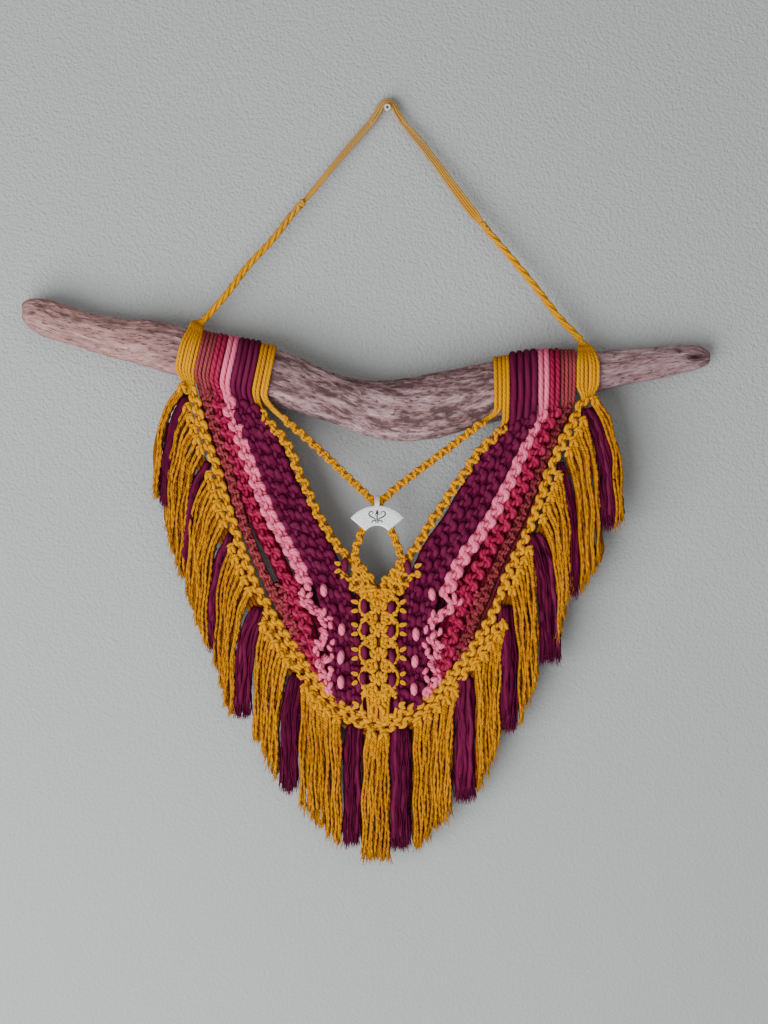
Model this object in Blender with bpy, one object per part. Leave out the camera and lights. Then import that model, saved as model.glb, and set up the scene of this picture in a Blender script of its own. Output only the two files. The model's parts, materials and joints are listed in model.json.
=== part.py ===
"""A macrame wall hanging on a driftwood branch, held by one round-headed nail.

Millimetres inside, metres in the finished meshes. X runs to the right, Y into the wall and Z up.
The origin is the middle of the nail's flat back end, so the wall is the plane Y = 0.

Each coloured cord group wraps once round the branch and then runs down as a knotted bar. The bars
fan down to an edging bar, which carries the fringe. Bars are cut in level slices, so neighbours
share one boundary at every height and never cross.
"""

import math
from collections import namedtuple

import bmesh
import bpy
import numpy as np

MM = 0.001
GAP = 0.3

# Branch: a row for each section, in mm. Depth is worked out from the height.
Section = namedtuple("Section", "x top bottom")
BRANCH = (
    Section(-294, -157, -172),
    Section(-286, -154, -180),
    Section(-250, -164, -193),
    Section(-217, -171, -206),
    Section(-184, -172, -214),
    Section(-146, -185, -224),
    Section(-91, -197, -244),
    Section(-46, -212, -255),
    Section(-16, -222, -267),
    Section(15, -219, -272),
    Section(40, -215, -268),
    Section(84, -206, -257),
    Section(122, -200, -241),
    Section(170, -198, -229),
    Section(236, -193, -215),
    Section(253, -194, -211),
    Section(260, -199, -207),
)
BRANCH_SIDES = 12
BRANCH_STATIONS = 30
BRANCH_DEPTH_PER_HEIGHT = 0.76
BRANCH_BACK = 7.0
BRANCH_LUMP = 0.05

# Cord wraps: edges between neighbouring wraps along the branch, from the outer one to the inner one.
WRAPS = ("edging", "dusty_rose", "raspberry", "pink", "plum_outer", "plum_inner", "v_edge", "strap")
WRAP_EDGES = {
    "left": (-166.7, -151.6, -139.6, -131.4, -122.6, -113.8, -105.0, -98.8, -92.6),
    "right": (170.2, 150.8, 138.1, 129.3, 119.8, 108.6, 97.6, 91.0, 84.4),
}
WRAP_STRANDS = {"edging": 5, "dusty_rose": 3}
WRAP_STRANDS_OTHER = 2
WRAP_CLEARANCE = 0.6
WRAP_CREST = 4.2
WRAP_GROOVE = 2.6
WRAP_LEAN = {"left": 3.0, "right": 0.0}

# Knotted bars: full width, thickness and the pitch of the ridges.
Bar = namedtuple("Bar", "width thick pitch colour")
BARS = {
    "v_edge": Bar(8.8, 6.0, 15.0, "mustard"),
    "plum_inner": Bar(14.0, 7.0, 18.0, "plum"),
    "plum_outer": Bar(13.0, 7.0, 18.0, "plum"),
    "pink": Bar(12.0, 8.0, 13.0, "pink"),
    "raspberry": Bar(9.6, 7.0, 15.0, "raspberry"),
    "dusty_rose": Bar(9.6, 6.5, 15.0, "dusty_rose"),
    "edging": Bar(10.0, 6.0, 14.0, "mustard"),
    "strap": Bar(7.4, 4.6, 11.0, "mustard"),
}
GROOVE = 0.74
SWAY = 0.12
TAPER_IN = 22.0
LANE_START_BELOW_BRANCH = 3.0
DEPTH_BLEND = 70.0
EDGING_TAPER = (40.0, 0.62)

# Middle line of each bar at set heights, from the inner edge of the fan outwards.
Level = namedtuple("Level", "z v_edge plum_inner plum_outer pink raspberry dusty_rose")
LANES = ("v_edge", "plum_inner", "plum_outer", "pink", "raspberry", "dusty_rose")
FAN = {
    "left": (
        Level(-239, -102, -110, -118, -126, -135, -144),
        Level(-269, -82, -96, -106, -116, -125, -135),
        Level(-301, -68, -83, -94, -105, -115, -125),
        Level(-333, -52, -67, -79, -91, -104, -117),
        Level(-365, -28, -50, -62, -72, -88, -104),
        Level(-397, -1, -36, -48, -61, -74, -89),
        Level(-429, 20, -31, -42, -53, -63, -71),
        Level(-469, 40, -29, -39, -48, -50, -56),
    ),
    "right": (
        Level(-239, 95, 103, 112, 122, 132, 142),
        Level(-269, 79, 90, 101, 112, 123, 132),
        Level(-301, 58, 73, 86, 98, 110, 120),
        Level(-333, 36, 54, 68, 82, 95, 106),
        Level(-365, 13, 33, 47, 59, 77, 90),
        Level(-397, -14, 22, 34, 45, 61, 77),
        Level(-429, -34, 17, 28, 40, 51, 62),
        Level(-469, -54, 13, 24, 33, 38, 46),
    ),
}
LANE_END = {
    "left": dict(
        v_edge=-374.6, plum_inner=-475, plum_outer=-466, pink=-455, raspberry=-438, dusty_rose=-420
    ),
    "right": dict(
        v_edge=-374.6, plum_inner=-476, plum_outer=-470, pink=-461, raspberry=-448, dusty_rose=-435
    ),
}

# Depth of the knotted sheet, from just under the branch to its lowest point.
SHEET_TOP = (-239.0, -37.0)
SHEET_BOTTOM = (-490.0, -26.0)

# Edging line from its left top over the lowest point to its right top.
Point = namedtuple("Point", "x z")
EDGING = (
    Point(-158, -224),
    Point(-149, -257),
    Point(-139, -287),
    Point(-130, -318),
    Point(-118, -355),
    Point(-104, -390),
    Point(-83, -425),
    Point(-58, -462),
    Point(-45, -477),
    Point(-26, -489),
    Point(-1, -495),
    Point(21, -485),
    Point(36, -474),
    Point(61, -447),
    Point(81, -418),
    Point(101, -369),
    Point(112, -346),
    Point(134, -287),
    Point(148, -257),
    Point(161, -233),
)

# Fringe: where each bundle sits along the edging line, where its tips hang, and its length.
# The colours alternate, mustard first and last.
Bundle = namedtuple("Bundle", "start end tip_left tip_right length")
FRINGE = (
    Bundle(0, 5, -188, -182, 94),
    Bundle(5, 14, -182, -173, 90),
    Bundle(14, 60, -178, -163, 107),
    Bundle(60, 74, -166, -158, 93),
    Bundle(74, 124, -161, -144, 105),
    Bundle(124, 136, -145, -138, 94),
    Bundle(136, 183, -139, -124, 106),
    Bundle(183, 202, -124, -109, 90),
    Bundle(202, 250, -108, -87, 98),
    Bundle(250, 266, -87, -72, 97),
    Bundle(266, 293, -71, -36, 106),
    Bundle(293, 310, -36, -21, 100),
    Bundle(310, 335, -22, 2, 108),
    Bundle(335, 350, 2, 19, 100),
    Bundle(350, 398, 20, 52, 108),
    Bundle(398, 416, 53, 71, 102),
    Bundle(416, 454, 71, 90, 106),
    Bundle(454, 472, 89, 105, 103),
    Bundle(472, 516, 105, 121, 112),
    Bundle(516, 534, 122, 140, 106),
    Bundle(534, 578, 136, 147, 101),
    Bundle(578, 590, 146, 154, 109),
    Bundle(590, 624, 153, 172, 120),
    Bundle(624, 637, 170, 184, 98),
    Bundle(637, 644, 181, 189, 106),
)
FRINGE_HEAD = 2.6
# Layer is the bundle's place in front of (-) or behind (+) the sheet's middle.
Strand = namedtuple("Strand", "pitch half_width half_depth layer")
STRANDS = {
    "mustard": Strand(3.1, 1.15, 1.5, -1.6),
    "plum": Strand(3.6, 1.45, 2.2, 2.6),
}
STRAND_FALL = ((0.16, 0.50), (0.46, 0.86), (1.0, 1.0))
RAGGED = 0.03

# Straps that carry the charm, from the wrap to the far side of the V. Depths are set by hand.
Turn = namedtuple("Turn", "x y z")
STRAPS = {
    "left": (
        Turn(-86, -40, -250),
        Turn(-59, -40, -273),
        Turn(-37, -39, -294),
        Turn(-16, -36.5, -314),
        Turn(-8, -36.5, -321.5),
        Turn(1, -36.5, -336),
        Turn(7, -36, -355.5),
    ),
    "right": (
        Turn(79, -46.5, -253),
        Turn(57, -45.5, -270),
        Turn(37, -44, -285),
        Turn(0, -42.5, -314),
        Turn(-8, -42, -321.5),
        Turn(-18, -40.5, -336),
        Turn(-23, -37, -357.5),
    ),
}

CROSSING_Z = -321.5
CROSSING_PINCH = 0.42
CROSSING_REACH = 9.0

# Middle column of alternating knots: half widths at its crests and grooves.
COLUMN_X = -6.7
COLUMN_TOP = -375.0
COLUMN_BOTTOM = -487.0
COLUMN_NOTCH = 6.0
COLUMN_LEVELS = 6
COLUMN_CREST = 14.0
COLUMN_GROOVE = 10.5
COLUMN_TAIL = 7.0
COLUMN_THICK = 8.0

# Charm: a flat fan on a bail, which closes round the crossing of the straps.
CHARM_X = -8.2
CHARM_CENTRE_Z = -349.5
CHARM_OUTER = 27.5
CHARM_INNER = 11.7
CHARM_HALF_ANGLE = math.radians(50)
CHARM_FRONT = -50.0
CHARM_BACK = -48.2
CHARM_STEPS = 12
BAIL_HALF_WIDTH = 1.8
BAIL_WALL = 1.1
BAIL_LOOP = (
    Point(-49.4, -316.0),
    Point(-47.0, -313.4),
    Point(-34.0, -313.4),
    Point(-31.5, -316.0),
    Point(-31.5, -331.0),
    Point(-34.0, -333.5),
    Point(-49.4, -333.5),
)

# Nail and hanger.
NAIL_SIDES = 16
SHANK_RADIUS = 1.7
HEAD_RADIUS = 2.9
SHANK_LENGTH = 9.4
HEAD_THICK = 1.6
RECESS_RADIUS = 1.3
RECESS_DEPTH = 0.6
HANGER_KNOT_PITCH = 12.0
HANGER = {
    "left": (
        Turn(-149, -21, -174.5),
        Turn(-131, -20, -154),
        Turn(-113, -18, -130),
        Turn(-92, -16, -107),
        Turn(-75, -14, -85),
        Turn(-67, -13, -76),
        Turn(-34, -9, -36),
        Turn(-6.6, -5.6, -4.4),
    ),
    "right": (
        Turn(157, -18, -189.5),
        Turn(141, -17, -173.5),
        Turn(118, -15, -144),
        Turn(94, -13, -115),
        Turn(82, -12, -101),
        Turn(69, -11, -85),
        Turn(24, -7.5, -25),
        Turn(6.6, -5.6, -4.4),
    ),
}
HANGER_KNOTTED = {"left": (5.4, 4.6, 118.0), "right": (6.0, 4.8, 118.0)}
HANGER_PLAIN = {"left": (4.6, 3.4), "right": (8.6, 3.2)}
LOOP_ARCH = (Point(-6.2, -3.9), Point(-3.9, 1.6), Point(0.0, 4.0), Point(3.9, 1.6), Point(6.2, -3.9))
LOOP_THICK = 3.4
LOOP_FRONT = -8.4
LOOP_BACK = -2.8

COLOURS = {
    "mustard": ((0.60, 0.30, 0.025, 1), 0.9, 0.0),
    "plum": ((0.095, 0.010, 0.042, 1), 0.9, 0.0),
    "pink": ((0.69, 0.19, 0.30, 1), 0.9, 0.0),
    "raspberry": ((0.40, 0.026, 0.08, 1), 0.9, 0.0),
    "dusty_rose": ((0.30, 0.060, 0.070, 1), 0.9, 0.0),
    "wood": ((0.42, 0.30, 0.28, 1), 0.85, 0.0),
    "silver": ((0.75, 0.74, 0.73, 1), 0.35, 1.0),
    "nail_metal": ((0.60, 0.58, 0.55, 1), 0.4, 1.0),
}


def smooth(at, stops, values):
    """A cubic through the values at their stops, with slopes taken from the neighbours."""
    stops = np.asarray(stops, float)
    values = np.asarray(values, float)
    slopes = np.gradient(values, stops)
    i = int(np.clip(np.searchsorted(stops, at) - 1, 0, len(stops) - 2))
    span = stops[i + 1] - stops[i]
    t = (at - stops[i]) / span
    return (
        (1 + 2 * t) * (1 - t) ** 2 * values[i]
        + t * (1 - t) ** 2 * span * slopes[i]
        + t * t * (3 - 2 * t) * values[i + 1]
        + t * t * (t - 1) * span * slopes[i + 1]
    )


def ease(t):
    """A soft step from 0 to 1."""
    t = float(np.clip(t, 0, 1))
    return t * t * (3 - 2 * t)


class Route:
    """A smooth curve through points that were set by hand, read by the distance along it."""

    def __init__(self, points):
        self.points = np.array([tuple(point) for point in points], float)
        steps = np.linalg.norm(np.diff(self.points, axis=0), axis=1)
        self.stops = np.concatenate([[0.0], np.cumsum(steps)])
        self.length = self.stops[-1]

    def at(self, distance):
        return np.array([smooth(distance, self.stops, column) for column in self.points.T])

    def heading(self, distance):
        step = self.at(distance + 0.5) - self.at(distance - 0.5)
        return step / np.linalg.norm(step)


def sheet_depth(z):
    (top, front), (bottom, back) = SHEET_TOP, SHEET_BOTTOM
    return front + (back - front) * np.clip((z - top) / (bottom - top), 0, 1.4)


# ---------------------------------------------------------------- closed bodies from rows


def skin(bm, low, high):
    """Faces between two rows of vertices that run the same way, whatever their counts."""
    i, j = 0, 0
    while i < len(low) - 1 or j < len(high) - 1:
        ahead = (i + 1) * (len(high) - 1) - (j + 1) * (len(low) - 1)
        if ahead == 0:
            bm.faces.new((low[i], low[i + 1], high[j + 1], high[j]))
            i, j = i + 1, j + 1
        elif ahead < 0:
            bm.faces.new((low[i], low[i + 1], high[j]))
            i += 1
        else:
            bm.faces.new((low[i], high[j + 1], high[j]))
            j += 1


def vertices(bm, points):
    return [bm.verts.new([value * MM for value in point]) for point in points]


def loft(sections):
    """One closed body through sections, each a front row and a back row that run left to right."""
    bm = bmesh.new()
    rows = [(vertices(bm, front), vertices(bm, back)) for front, back in sections]
    for (front, back), (next_front, next_back) in zip(rows, rows[1:]):
        skin(bm, front, next_front)
        skin(bm, back, next_back)
        skin(bm, (front[0], back[0]), (next_front[0], next_back[0]))
        skin(bm, (front[-1], back[-1]), (next_front[-1], next_back[-1]))
    skin(bm, *rows[0])
    skin(bm, *rows[-1])
    return bm


def add_object(name, bm, colour):
    bmesh.ops.recalc_face_normals(bm, faces=bm.faces)
    mesh = bpy.data.meshes.new(name)
    bm.to_mesh(mesh)
    bm.free()
    mesh.shade_smooth()
    mesh.set_sharp_from_angle(angle=math.radians(40))
    mesh.materials.append(material(colour))
    obj = bpy.data.objects.new(name, mesh)
    bpy.context.scene.collection.objects.link(obj)
    return obj


def material(name):
    found = bpy.data.materials.get(name)
    if found:
        return found
    made = bpy.data.materials.new(name)
    made.use_nodes = True
    colour, roughness, metallic = COLOURS[name]
    shader = made.node_tree.nodes["Principled BSDF"]
    shader.inputs["Base Color"].default_value = colour
    shader.inputs["Roughness"].default_value = roughness
    shader.inputs["Metallic"].default_value = metallic
    made.diffuse_color = colour
    return made


# ---------------------------------------------------------------- branch and wraps


def branch_ring(x):
    """The branch's section at x, from its front over its top, as (y, z) points."""
    top = smooth(x, [row.x for row in BRANCH], [row.top for row in BRANCH])
    bottom = smooth(x, [row.x for row in BRANCH], [row.bottom for row in BRANCH])
    high, middle = (top - bottom) / 2, (top + bottom) / 2
    deep = high * BRANCH_DEPTH_PER_HEIGHT
    ring = []
    for k in range(BRANCH_SIDES):
        turn = math.tau * k / BRANCH_SIDES
        lump = 1 + BRANCH_LUMP * math.sin(x / 17 + 2.3 * k) * math.sin(x / 41 + 1.1 * k)
        y = -BRANCH_BACK - deep - deep * lump * math.cos(turn)
        ring.append((min(y, -BRANCH_BACK), middle + high * lump * math.sin(turn)))
    return np.array(ring)


BRANCH_X = np.concatenate([[BRANCH[0].x, BRANCH[1].x], np.linspace(-272, 243, BRANCH_STATIONS - 4)])
BRANCH_X = np.concatenate([BRANCH_X, [BRANCH[-2].x, BRANCH[-1].x]])
BRANCH_RINGS = np.array([branch_ring(x) for x in BRANCH_X])


def branch_point(x, k, out):
    """A point on the branch's k-th edge line at x, moved out from the middle of the section."""
    i = int(np.clip(np.searchsorted(BRANCH_X, x) - 1, 0, len(BRANCH_X) - 2))
    t = (x - BRANCH_X[i]) / (BRANCH_X[i + 1] - BRANCH_X[i])
    ring = (1 - t) * BRANCH_RINGS[i] + t * BRANCH_RINGS[i + 1]
    middle = ring.mean(axis=0)
    edge = ring[k % BRANCH_SIDES] - middle
    y, z = ring[k % BRANCH_SIDES] + out * edge / np.linalg.norm(edge)
    return (x, y, z)


def branch_bottom(x):
    return branch_point(x, 3 * BRANCH_SIDES // 4, 0)[2]


def build_branch():
    bm = bmesh.new()
    rings = []
    for x, ring in zip(BRANCH_X, BRANCH_RINGS):
        rings.append(vertices(bm, [(x, y, z) for y, z in ring]))
    for ring, following in zip(rings, rings[1:]):
        skin(bm, ring + ring[:1], following + following[:1])
    bm.faces.new(rings[0])
    bm.faces.new(rings[-1])
    add_object("driftwood_branch", bm, "wood")


def wrap_range(side, name):
    i = WRAPS.index(name)
    low, high = sorted(WRAP_EDGES[side][i : i + 2])
    return low + GAP / 2, high - GAP / 2


def wrap_sections(side, name):
    """Sections of a ridged cord wrap, from under the branch over its back and top to its front."""
    low, high = wrap_range(side, name)
    ridges = WRAP_STRANDS.get(name, WRAP_STRANDS_OTHER)
    quarter = BRANCH_SIDES // 4
    sections = []
    for k in range(3 * quarter, -2, -1):
        lean = WRAP_LEAN[side] * math.sin(math.tau * k / BRANCH_SIDES)
        across = np.linspace(low, high, 2 * ridges + 1) + lean
        heights = [WRAP_CREST if i % 2 else WRAP_GROOVE for i in range(len(across))]
        outer = [branch_point(x, k, h + WRAP_CLEARANCE) for x, h in zip(across, heights)]
        inner = [branch_point(x, k, WRAP_CLEARANCE) for x in across[::2]]
        sections.append((outer, inner))
    return sections


# ---------------------------------------------------------------- knotted bars


def slab(left, right, front, back, z):
    """A level six-sided slice from left to right, thickest at its middle."""
    middle, shoulder = (left + right) / 2, 0.26 * (back - front)
    rows = []
    for crown, side in ((front, front + shoulder), (back, back - shoulder)):
        rows.append([(left, side, z), (middle, crown, z), (right, side, z)])
    return tuple(rows)


def turned(route, distance, way, width, thick, shift):
    """A six-sided section square to the route, way being +1 along it or -1 against it."""
    x, y, z = route.at(distance)
    along = route.heading(distance) * way
    flat = np.array([-along[2], 0.0, along[0]])
    flat /= np.linalg.norm(flat)
    centre = np.array([x, y, z]) + flat * shift
    rows = []
    for sign in (-1, 1):
        edge, crown = sign * thick * 0.24, sign * thick / 2
        rows.append(
            [
                tuple(centre - flat * width / 2 + (0, edge, 0)),
                tuple(centre + (0, crown, 0)),
                tuple(centre + flat * width / 2 + (0, edge, 0)),
            ]
        )
    return tuple(rows)


def ridge(i):
    """How full the bar is at its i-th section, and to which side that knot leans."""
    return (1.0, 1 if i % 4 == 1 else -1) if i % 2 else (GROOVE, 0)


def knotted(route, bar, start, end, way=1, width_at=None):
    """Ridged sections of a bar between two distances along its route, its width set by height."""
    count = 2 * max(2, round(abs(end - start) / bar.pitch)) + 1
    sections = []
    for i, distance in enumerate(np.linspace(start, end, count)):
        full, lean = ridge(i)
        width = width_at(route.at(distance)[2]) if width_at else bar.width
        shift = lean * SWAY * width / 2
        width = width * full - 2 * abs(shift)
        sections.append(turned(route, distance, way, width, bar.thick * full, shift))
    return sections


def edging_route():
    return Route([(point.x, sheet_depth(point.z), point.z) for point in EDGING])


def edging_width(z):
    """The edging bar is slimmer where it leaves its wrap."""
    fall, least = EDGING_TAPER
    return BARS["edging"].width * (least + (1 - least) * np.clip((EDGING[0].z - z) / fall, 0, 1))


def edging_inner_x(side, z):
    """Where the edging bar's inner side stands at height z."""
    lowest = min(range(len(EDGING)), key=lambda i: EDGING[i].z)
    half = EDGING[: lowest + 1] if side == "left" else EDGING[lowest:]
    half = sorted(half, key=lambda point: point.z)
    heights = [point.z for point in half]
    x = np.interp(z, heights, [point.x for point in half])
    slope = np.interp(z, heights, np.gradient([point.x for point in half], heights))
    reach = edging_width(z) / 2 * math.hypot(1, slope)
    return x + reach if side == "left" else x - reach


def lane_x(side, name, z):
    rows = FAN[side][::-1]
    return smooth(z, [row.z for row in rows], [getattr(row, name) for row in rows])


def lane_bounds(side, name, z):
    """The left and right side of a bar at height z, shared out between it and its neighbours."""
    x = lane_x(side, name, z)
    bar = BARS[name]
    slope = (lane_x(side, name, z + 1) - lane_x(side, name, z - 1)) / 2
    half = bar.width / 2 * math.hypot(1, slope)
    out = -1 if side == "left" else 1
    i = LANES.index(name)
    reach = {}
    for way in (-1, 1):
        reach[way] = half
        if way < 0 and i == len(LANES) - 1:
            reach[way] = min(half, abs(x - edging_inner_x(side, z)) - GAP)
            continue
        if way > 0 and z < LANE_END[side]["v_edge"] and name == "plum_inner":
            reach[way] = min(half, abs(x - COLUMN_X) - COLUMN_CREST - GAP)
            continue
        other = LANES[i + 1] if way < 0 else LANES[max(i - 1, 0)]
        if other == name or z < LANE_END[side][other] - GAP:
            continue
        share = bar.width / (bar.width + BARS[other].width)
        reach[way] = min(half, abs(lane_x(side, other, z) - x) * share - GAP / 2)
    outer, inner = x + out * reach[-1], x - out * reach[1]
    return min(outer, inner), max(outer, inner)


def lane_depth(side, name, start, z):
    """Depth of a bar's middle: at its wrap's front under the branch, then the sheet's."""
    low, high = wrap_range(side, name)
    leave = branch_point((low + high) / 2, -1, WRAP_CREST / 2)[1]
    return leave + (sheet_depth(z) - leave) * ease((start - z) / DEPTH_BLEND)


def spread(edge, z):
    """How far the bars have moved, at height z, from a wrap's edge to their places in the fan."""
    return ease((branch_bottom(edge) - LANE_START_BELOW_BRANCH - z) / TAPER_IN)


def build_lane(side, name):
    bar = BARS[name]
    low, high = wrap_range(side, name)
    start = branch_bottom((low + high) / 2) - LANE_START_BELOW_BRANCH
    end = LANE_END[side][name]
    sections = wrap_sections(side, name)
    count = 2 * round((start - end) / bar.pitch) + 1
    for i, z in enumerate(np.linspace(start, end, count)):
        left, right = lane_bounds(side, name, z)
        full, lean = ridge(i)
        left = low + (left - low) * spread(low, z)
        right = high + (right - high) * spread(high, z)
        pinch = (1 - full) * (right - left) * 0.35
        sway = SWAY * (right - left)
        left += pinch + (sway if lean > 0 else 0)
        right -= pinch + (sway if lean < 0 else 0)
        depth = lane_depth(side, name, start, z)
        thick = bar.thick * (full if i else GROOVE)
        sections.append(slab(left, right, depth - thick / 2, depth + thick / 2, z))
    add_object(f"{name}_{side}", loft(sections), bar.colour)


def build_edging(side):
    """The mustard wrap at the fan's outer edge and the edging bar that goes on from it."""
    route = edging_route()
    lowest = route.stops[min(range(len(EDGING)), key=lambda i: EDGING[i].z)]
    bar = BARS["edging"]
    low, high = wrap_range(side, "edging")
    leave = branch_point((low + high) / 2, -1, WRAP_CREST / 2)[1]
    first, last, way = (6.0, lowest - GAP, 1) if side == "left" else (route.length - 6.0, lowest + GAP, -1)
    sections = wrap_sections(side, "edging")
    for front, back in knotted(route, bar, first, last, way, edging_width):
        z = front[1][2]
        blend = np.clip((EDGING[0].z - z) / DEPTH_BLEND, 0, 1)
        move = (leave - sheet_depth(z)) * (1 - blend)
        sections.append(tuple([(x, y + move, height) for x, y, height in row] for row in (front, back)))
    add_object(f"edging_{side}", loft(sections), bar.colour)


def strap_width(z):
    """The straps are drawn in where they cross inside the bail."""
    pinch = CROSSING_PINCH * math.exp(-(((z - CROSSING_Z) / CROSSING_REACH) ** 2))
    return BARS["strap"].width * (1 - pinch)


def build_strap(side):
    bar = BARS["strap"]
    low, high = wrap_range(side, "strap")
    route = Route(STRAPS[side])
    sections = wrap_sections(side, "strap")
    sections += knotted(route, bar, 0, route.length, 1, strap_width)
    add_object(f"strap_{side}", loft(sections), bar.colour)


def build_column():
    """The middle column: crests alternate between its two sides and its middle."""
    sections = []
    stations = 2 * COLUMN_LEVELS + 1
    for i, z in enumerate(np.linspace(COLUMN_TOP - GAP, COLUMN_BOTTOM, stations)):
        half = COLUMN_CREST if i % 2 == 0 else COLUMN_GROOVE
        half = min(half, COLUMN_TAIL) if i >= stations - 2 else half
        depth = sheet_depth(z)
        sides, middle = (0.32, 0.5) if i % 4 < 2 else (0.5, 0.36)
        across = np.linspace(-half, half, 5) + COLUMN_X
        notch = COLUMN_NOTCH if i == 0 else 0
        drops = (0, notch / 2, notch, notch / 2, 0)
        bulge = (0.22, sides, middle, sides, 0.22)
        front = [(x, depth - COLUMN_THICK * b, z - d) for x, b, d in zip(across, bulge, drops)]
        back = [(x, depth + COLUMN_THICK * b, z - d) for x, b, d in zip(across, bulge, drops)]
        sections.append((front, back))
    add_object("centre_column", loft(sections), "mustard")


# ---------------------------------------------------------------- fringe


def build_bundle(number, bundle, colour, rng):
    """Strands that hang from one narrow head strip along the edging bar."""
    route = edging_route()
    strand = STRANDS[colour]
    count = max(2, round((bundle.tip_right - bundle.tip_left) / strand.pitch))
    bm = bmesh.new()
    lines = []
    for distance in np.linspace(bundle.start + GAP / 2, bundle.end - GAP / 2, count + 1):
        x, _, z = route.at(distance)
        along = route.heading(distance)
        away = np.array([along[2], 0.0, -along[0]])
        away /= np.linalg.norm(away)
        near = edging_width(z) / 2 + GAP
        inner, outer = np.array([x, 0, z]) + away * near, np.array([x, 0, z]) + away * (near + FRINGE_HEAD)
        depth = sheet_depth(z) + strand.layer
        shifts = [(0, depth - strand.half_depth - 0.3, 0), (0, depth + strand.half_depth + 0.3, 0)]
        lines.append(vertices(bm, [outer + shifts[0], inner + shifts[0], inner + shifts[1], outer + shifts[1]]))
    for line, following in zip(lines, lines[1:]):
        skin(bm, line, following)
    skin(bm, lines[0][:2], lines[0][:1:-1])
    skin(bm, lines[-1][:2], lines[-1][:1:-1])
    tips = np.linspace(bundle.tip_left + strand.half_width, bundle.tip_right - strand.half_width, count)
    for left, right, tip in zip(lines, lines[1:], tips):
        length = bundle.length * (1 + rng.uniform(-RAGGED, RAGGED))
        sprout(bm, (left[0], right[0], right[3], left[3]), tip, length, strand)
    add_object(f"fringe_{number:02d}_{colour}", bm, colour)


def sprout(bm, cell, tip, length, strand):
    """A four-sided strand out of one cell of the head strip, inset so that strands stand apart."""
    corners = [np.array(vertex.co) / MM for vertex in cell]
    middle = sum(corners) / 4
    ring = vertices(bm, [corner + 0.12 * (middle - corner) for corner in corners])
    skin(bm, list(cell) + [cell[0]], ring + ring[:1])
    for fall, across in STRAND_FALL:
        x = middle[0] + (tip - middle[0]) * across
        z = middle[2] - length * fall
        y = sheet_depth(z) + strand.layer
        wide, deep = strand.half_width, strand.half_depth
        corners = ((x - wide, y - deep, z), (x + wide, y - deep, z), (x + wide, y + deep, z), (x - wide, y + deep, z))
        following = vertices(bm, corners)
        skin(bm, ring + ring[:1], following + following[:1])
        ring = following
    bm.faces.new(ring)


# ---------------------------------------------------------------- charm, nail and hanger


def build_charm():
    bm = bmesh.new()
    rims = []
    for y in (CHARM_FRONT, CHARM_BACK):
        for radius in (CHARM_OUTER, CHARM_INNER):
            turns = np.linspace(-CHARM_HALF_ANGLE, CHARM_HALF_ANGLE, CHARM_STEPS + 1)
            points = [
                (CHARM_X + radius * math.sin(turn), y, CHARM_CENTRE_Z + radius * math.cos(turn)) for turn in turns
            ]
            rims.append(vertices(bm, points))
    rims = [rims[0], rims[1], rims[3], rims[2]]
    for rim, following in zip(rims, rims[1:] + rims[:1]):
        skin(bm, rim, following)
    for end in (0, -1):
        bm.faces.new([rim[end] for rim in rims])
    charm = add_object("fan_charm", bm, "silver")

    bm = bmesh.new()
    loop = np.array(BAIL_LOOP)
    middle = loop.mean(axis=0)
    rings = []
    for y, z in loop:
        out = (np.array([y, z]) - middle) / np.abs(np.array([y, z]) - middle).max()
        points = []
        for x, wall in ((-1, 0), (1, 0), (1, 1), (-1, 1)):
            spot = np.array([y, z]) - out * BAIL_WALL * (1 - wall)
            points.append((CHARM_X + x * BAIL_HALF_WIDTH, *spot))
        rings.append(vertices(bm, points))
    for ring, following in zip(rings, rings[1:] + rings[:1]):
        skin(bm, ring + ring[:1], following + following[:1])
    bail = add_object("bail_helper", bm, "silver")
    bail.hide_render = True
    bail.hide_viewport = False
    bail.display_type = "WIRE"
    join = charm.modifiers.new("bail", "BOOLEAN")
    join.operation = "UNION"
    join.object = bail


def build_nail():
    bm = bmesh.new()
    outline = (
        (SHANK_RADIUS, 0),
        (SHANK_RADIUS, -SHANK_LENGTH),
        (HEAD_RADIUS, -SHANK_LENGTH),
        (HEAD_RADIUS, -SHANK_LENGTH - HEAD_THICK * 0.6),
        (HEAD_RADIUS * 0.8, -SHANK_LENGTH - HEAD_THICK),
        (RECESS_RADIUS, -SHANK_LENGTH - HEAD_THICK),
        (RECESS_RADIUS * 0.7, -SHANK_LENGTH - HEAD_THICK + RECESS_DEPTH),
    )
    turns = [math.tau * i / NAIL_SIDES for i in range(NAIL_SIDES)]
    rings = [
        vertices(bm, [(radius * math.sin(turn), y, radius * math.cos(turn)) for turn in turns])
        for radius, y in outline
    ]
    for ring, following in zip(rings, rings[1:]):
        skin(bm, ring + ring[:1], following + following[:1])
    bm.faces.new(rings[0])
    bm.faces.new(rings[-1])
    add_object("wall_nail", bm, "nail_metal")


def build_hanger(side):
    """A knotted cord from the outer wrap, which opens into plain strands towards the nail."""
    route = Route(HANGER[side])
    way = -1 if side == "left" else 1
    width, thick, knotted_length = HANGER_KNOTTED[side]
    bar = Bar(width, thick, HANGER_KNOT_PITCH, "mustard")
    sections = knotted(route, bar, 0, knotted_length, way)
    width, thick = HANGER_PLAIN[side]
    for distance in np.linspace(knotted_length + 6, route.length, 6):
        narrow = 1.0 if distance < route.length - 5 else 0.62
        sections.append(turned(route, distance, way, width * narrow, thick, 0))
    add_object(f"hanger_{side}", loft(sections), "mustard")


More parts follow.
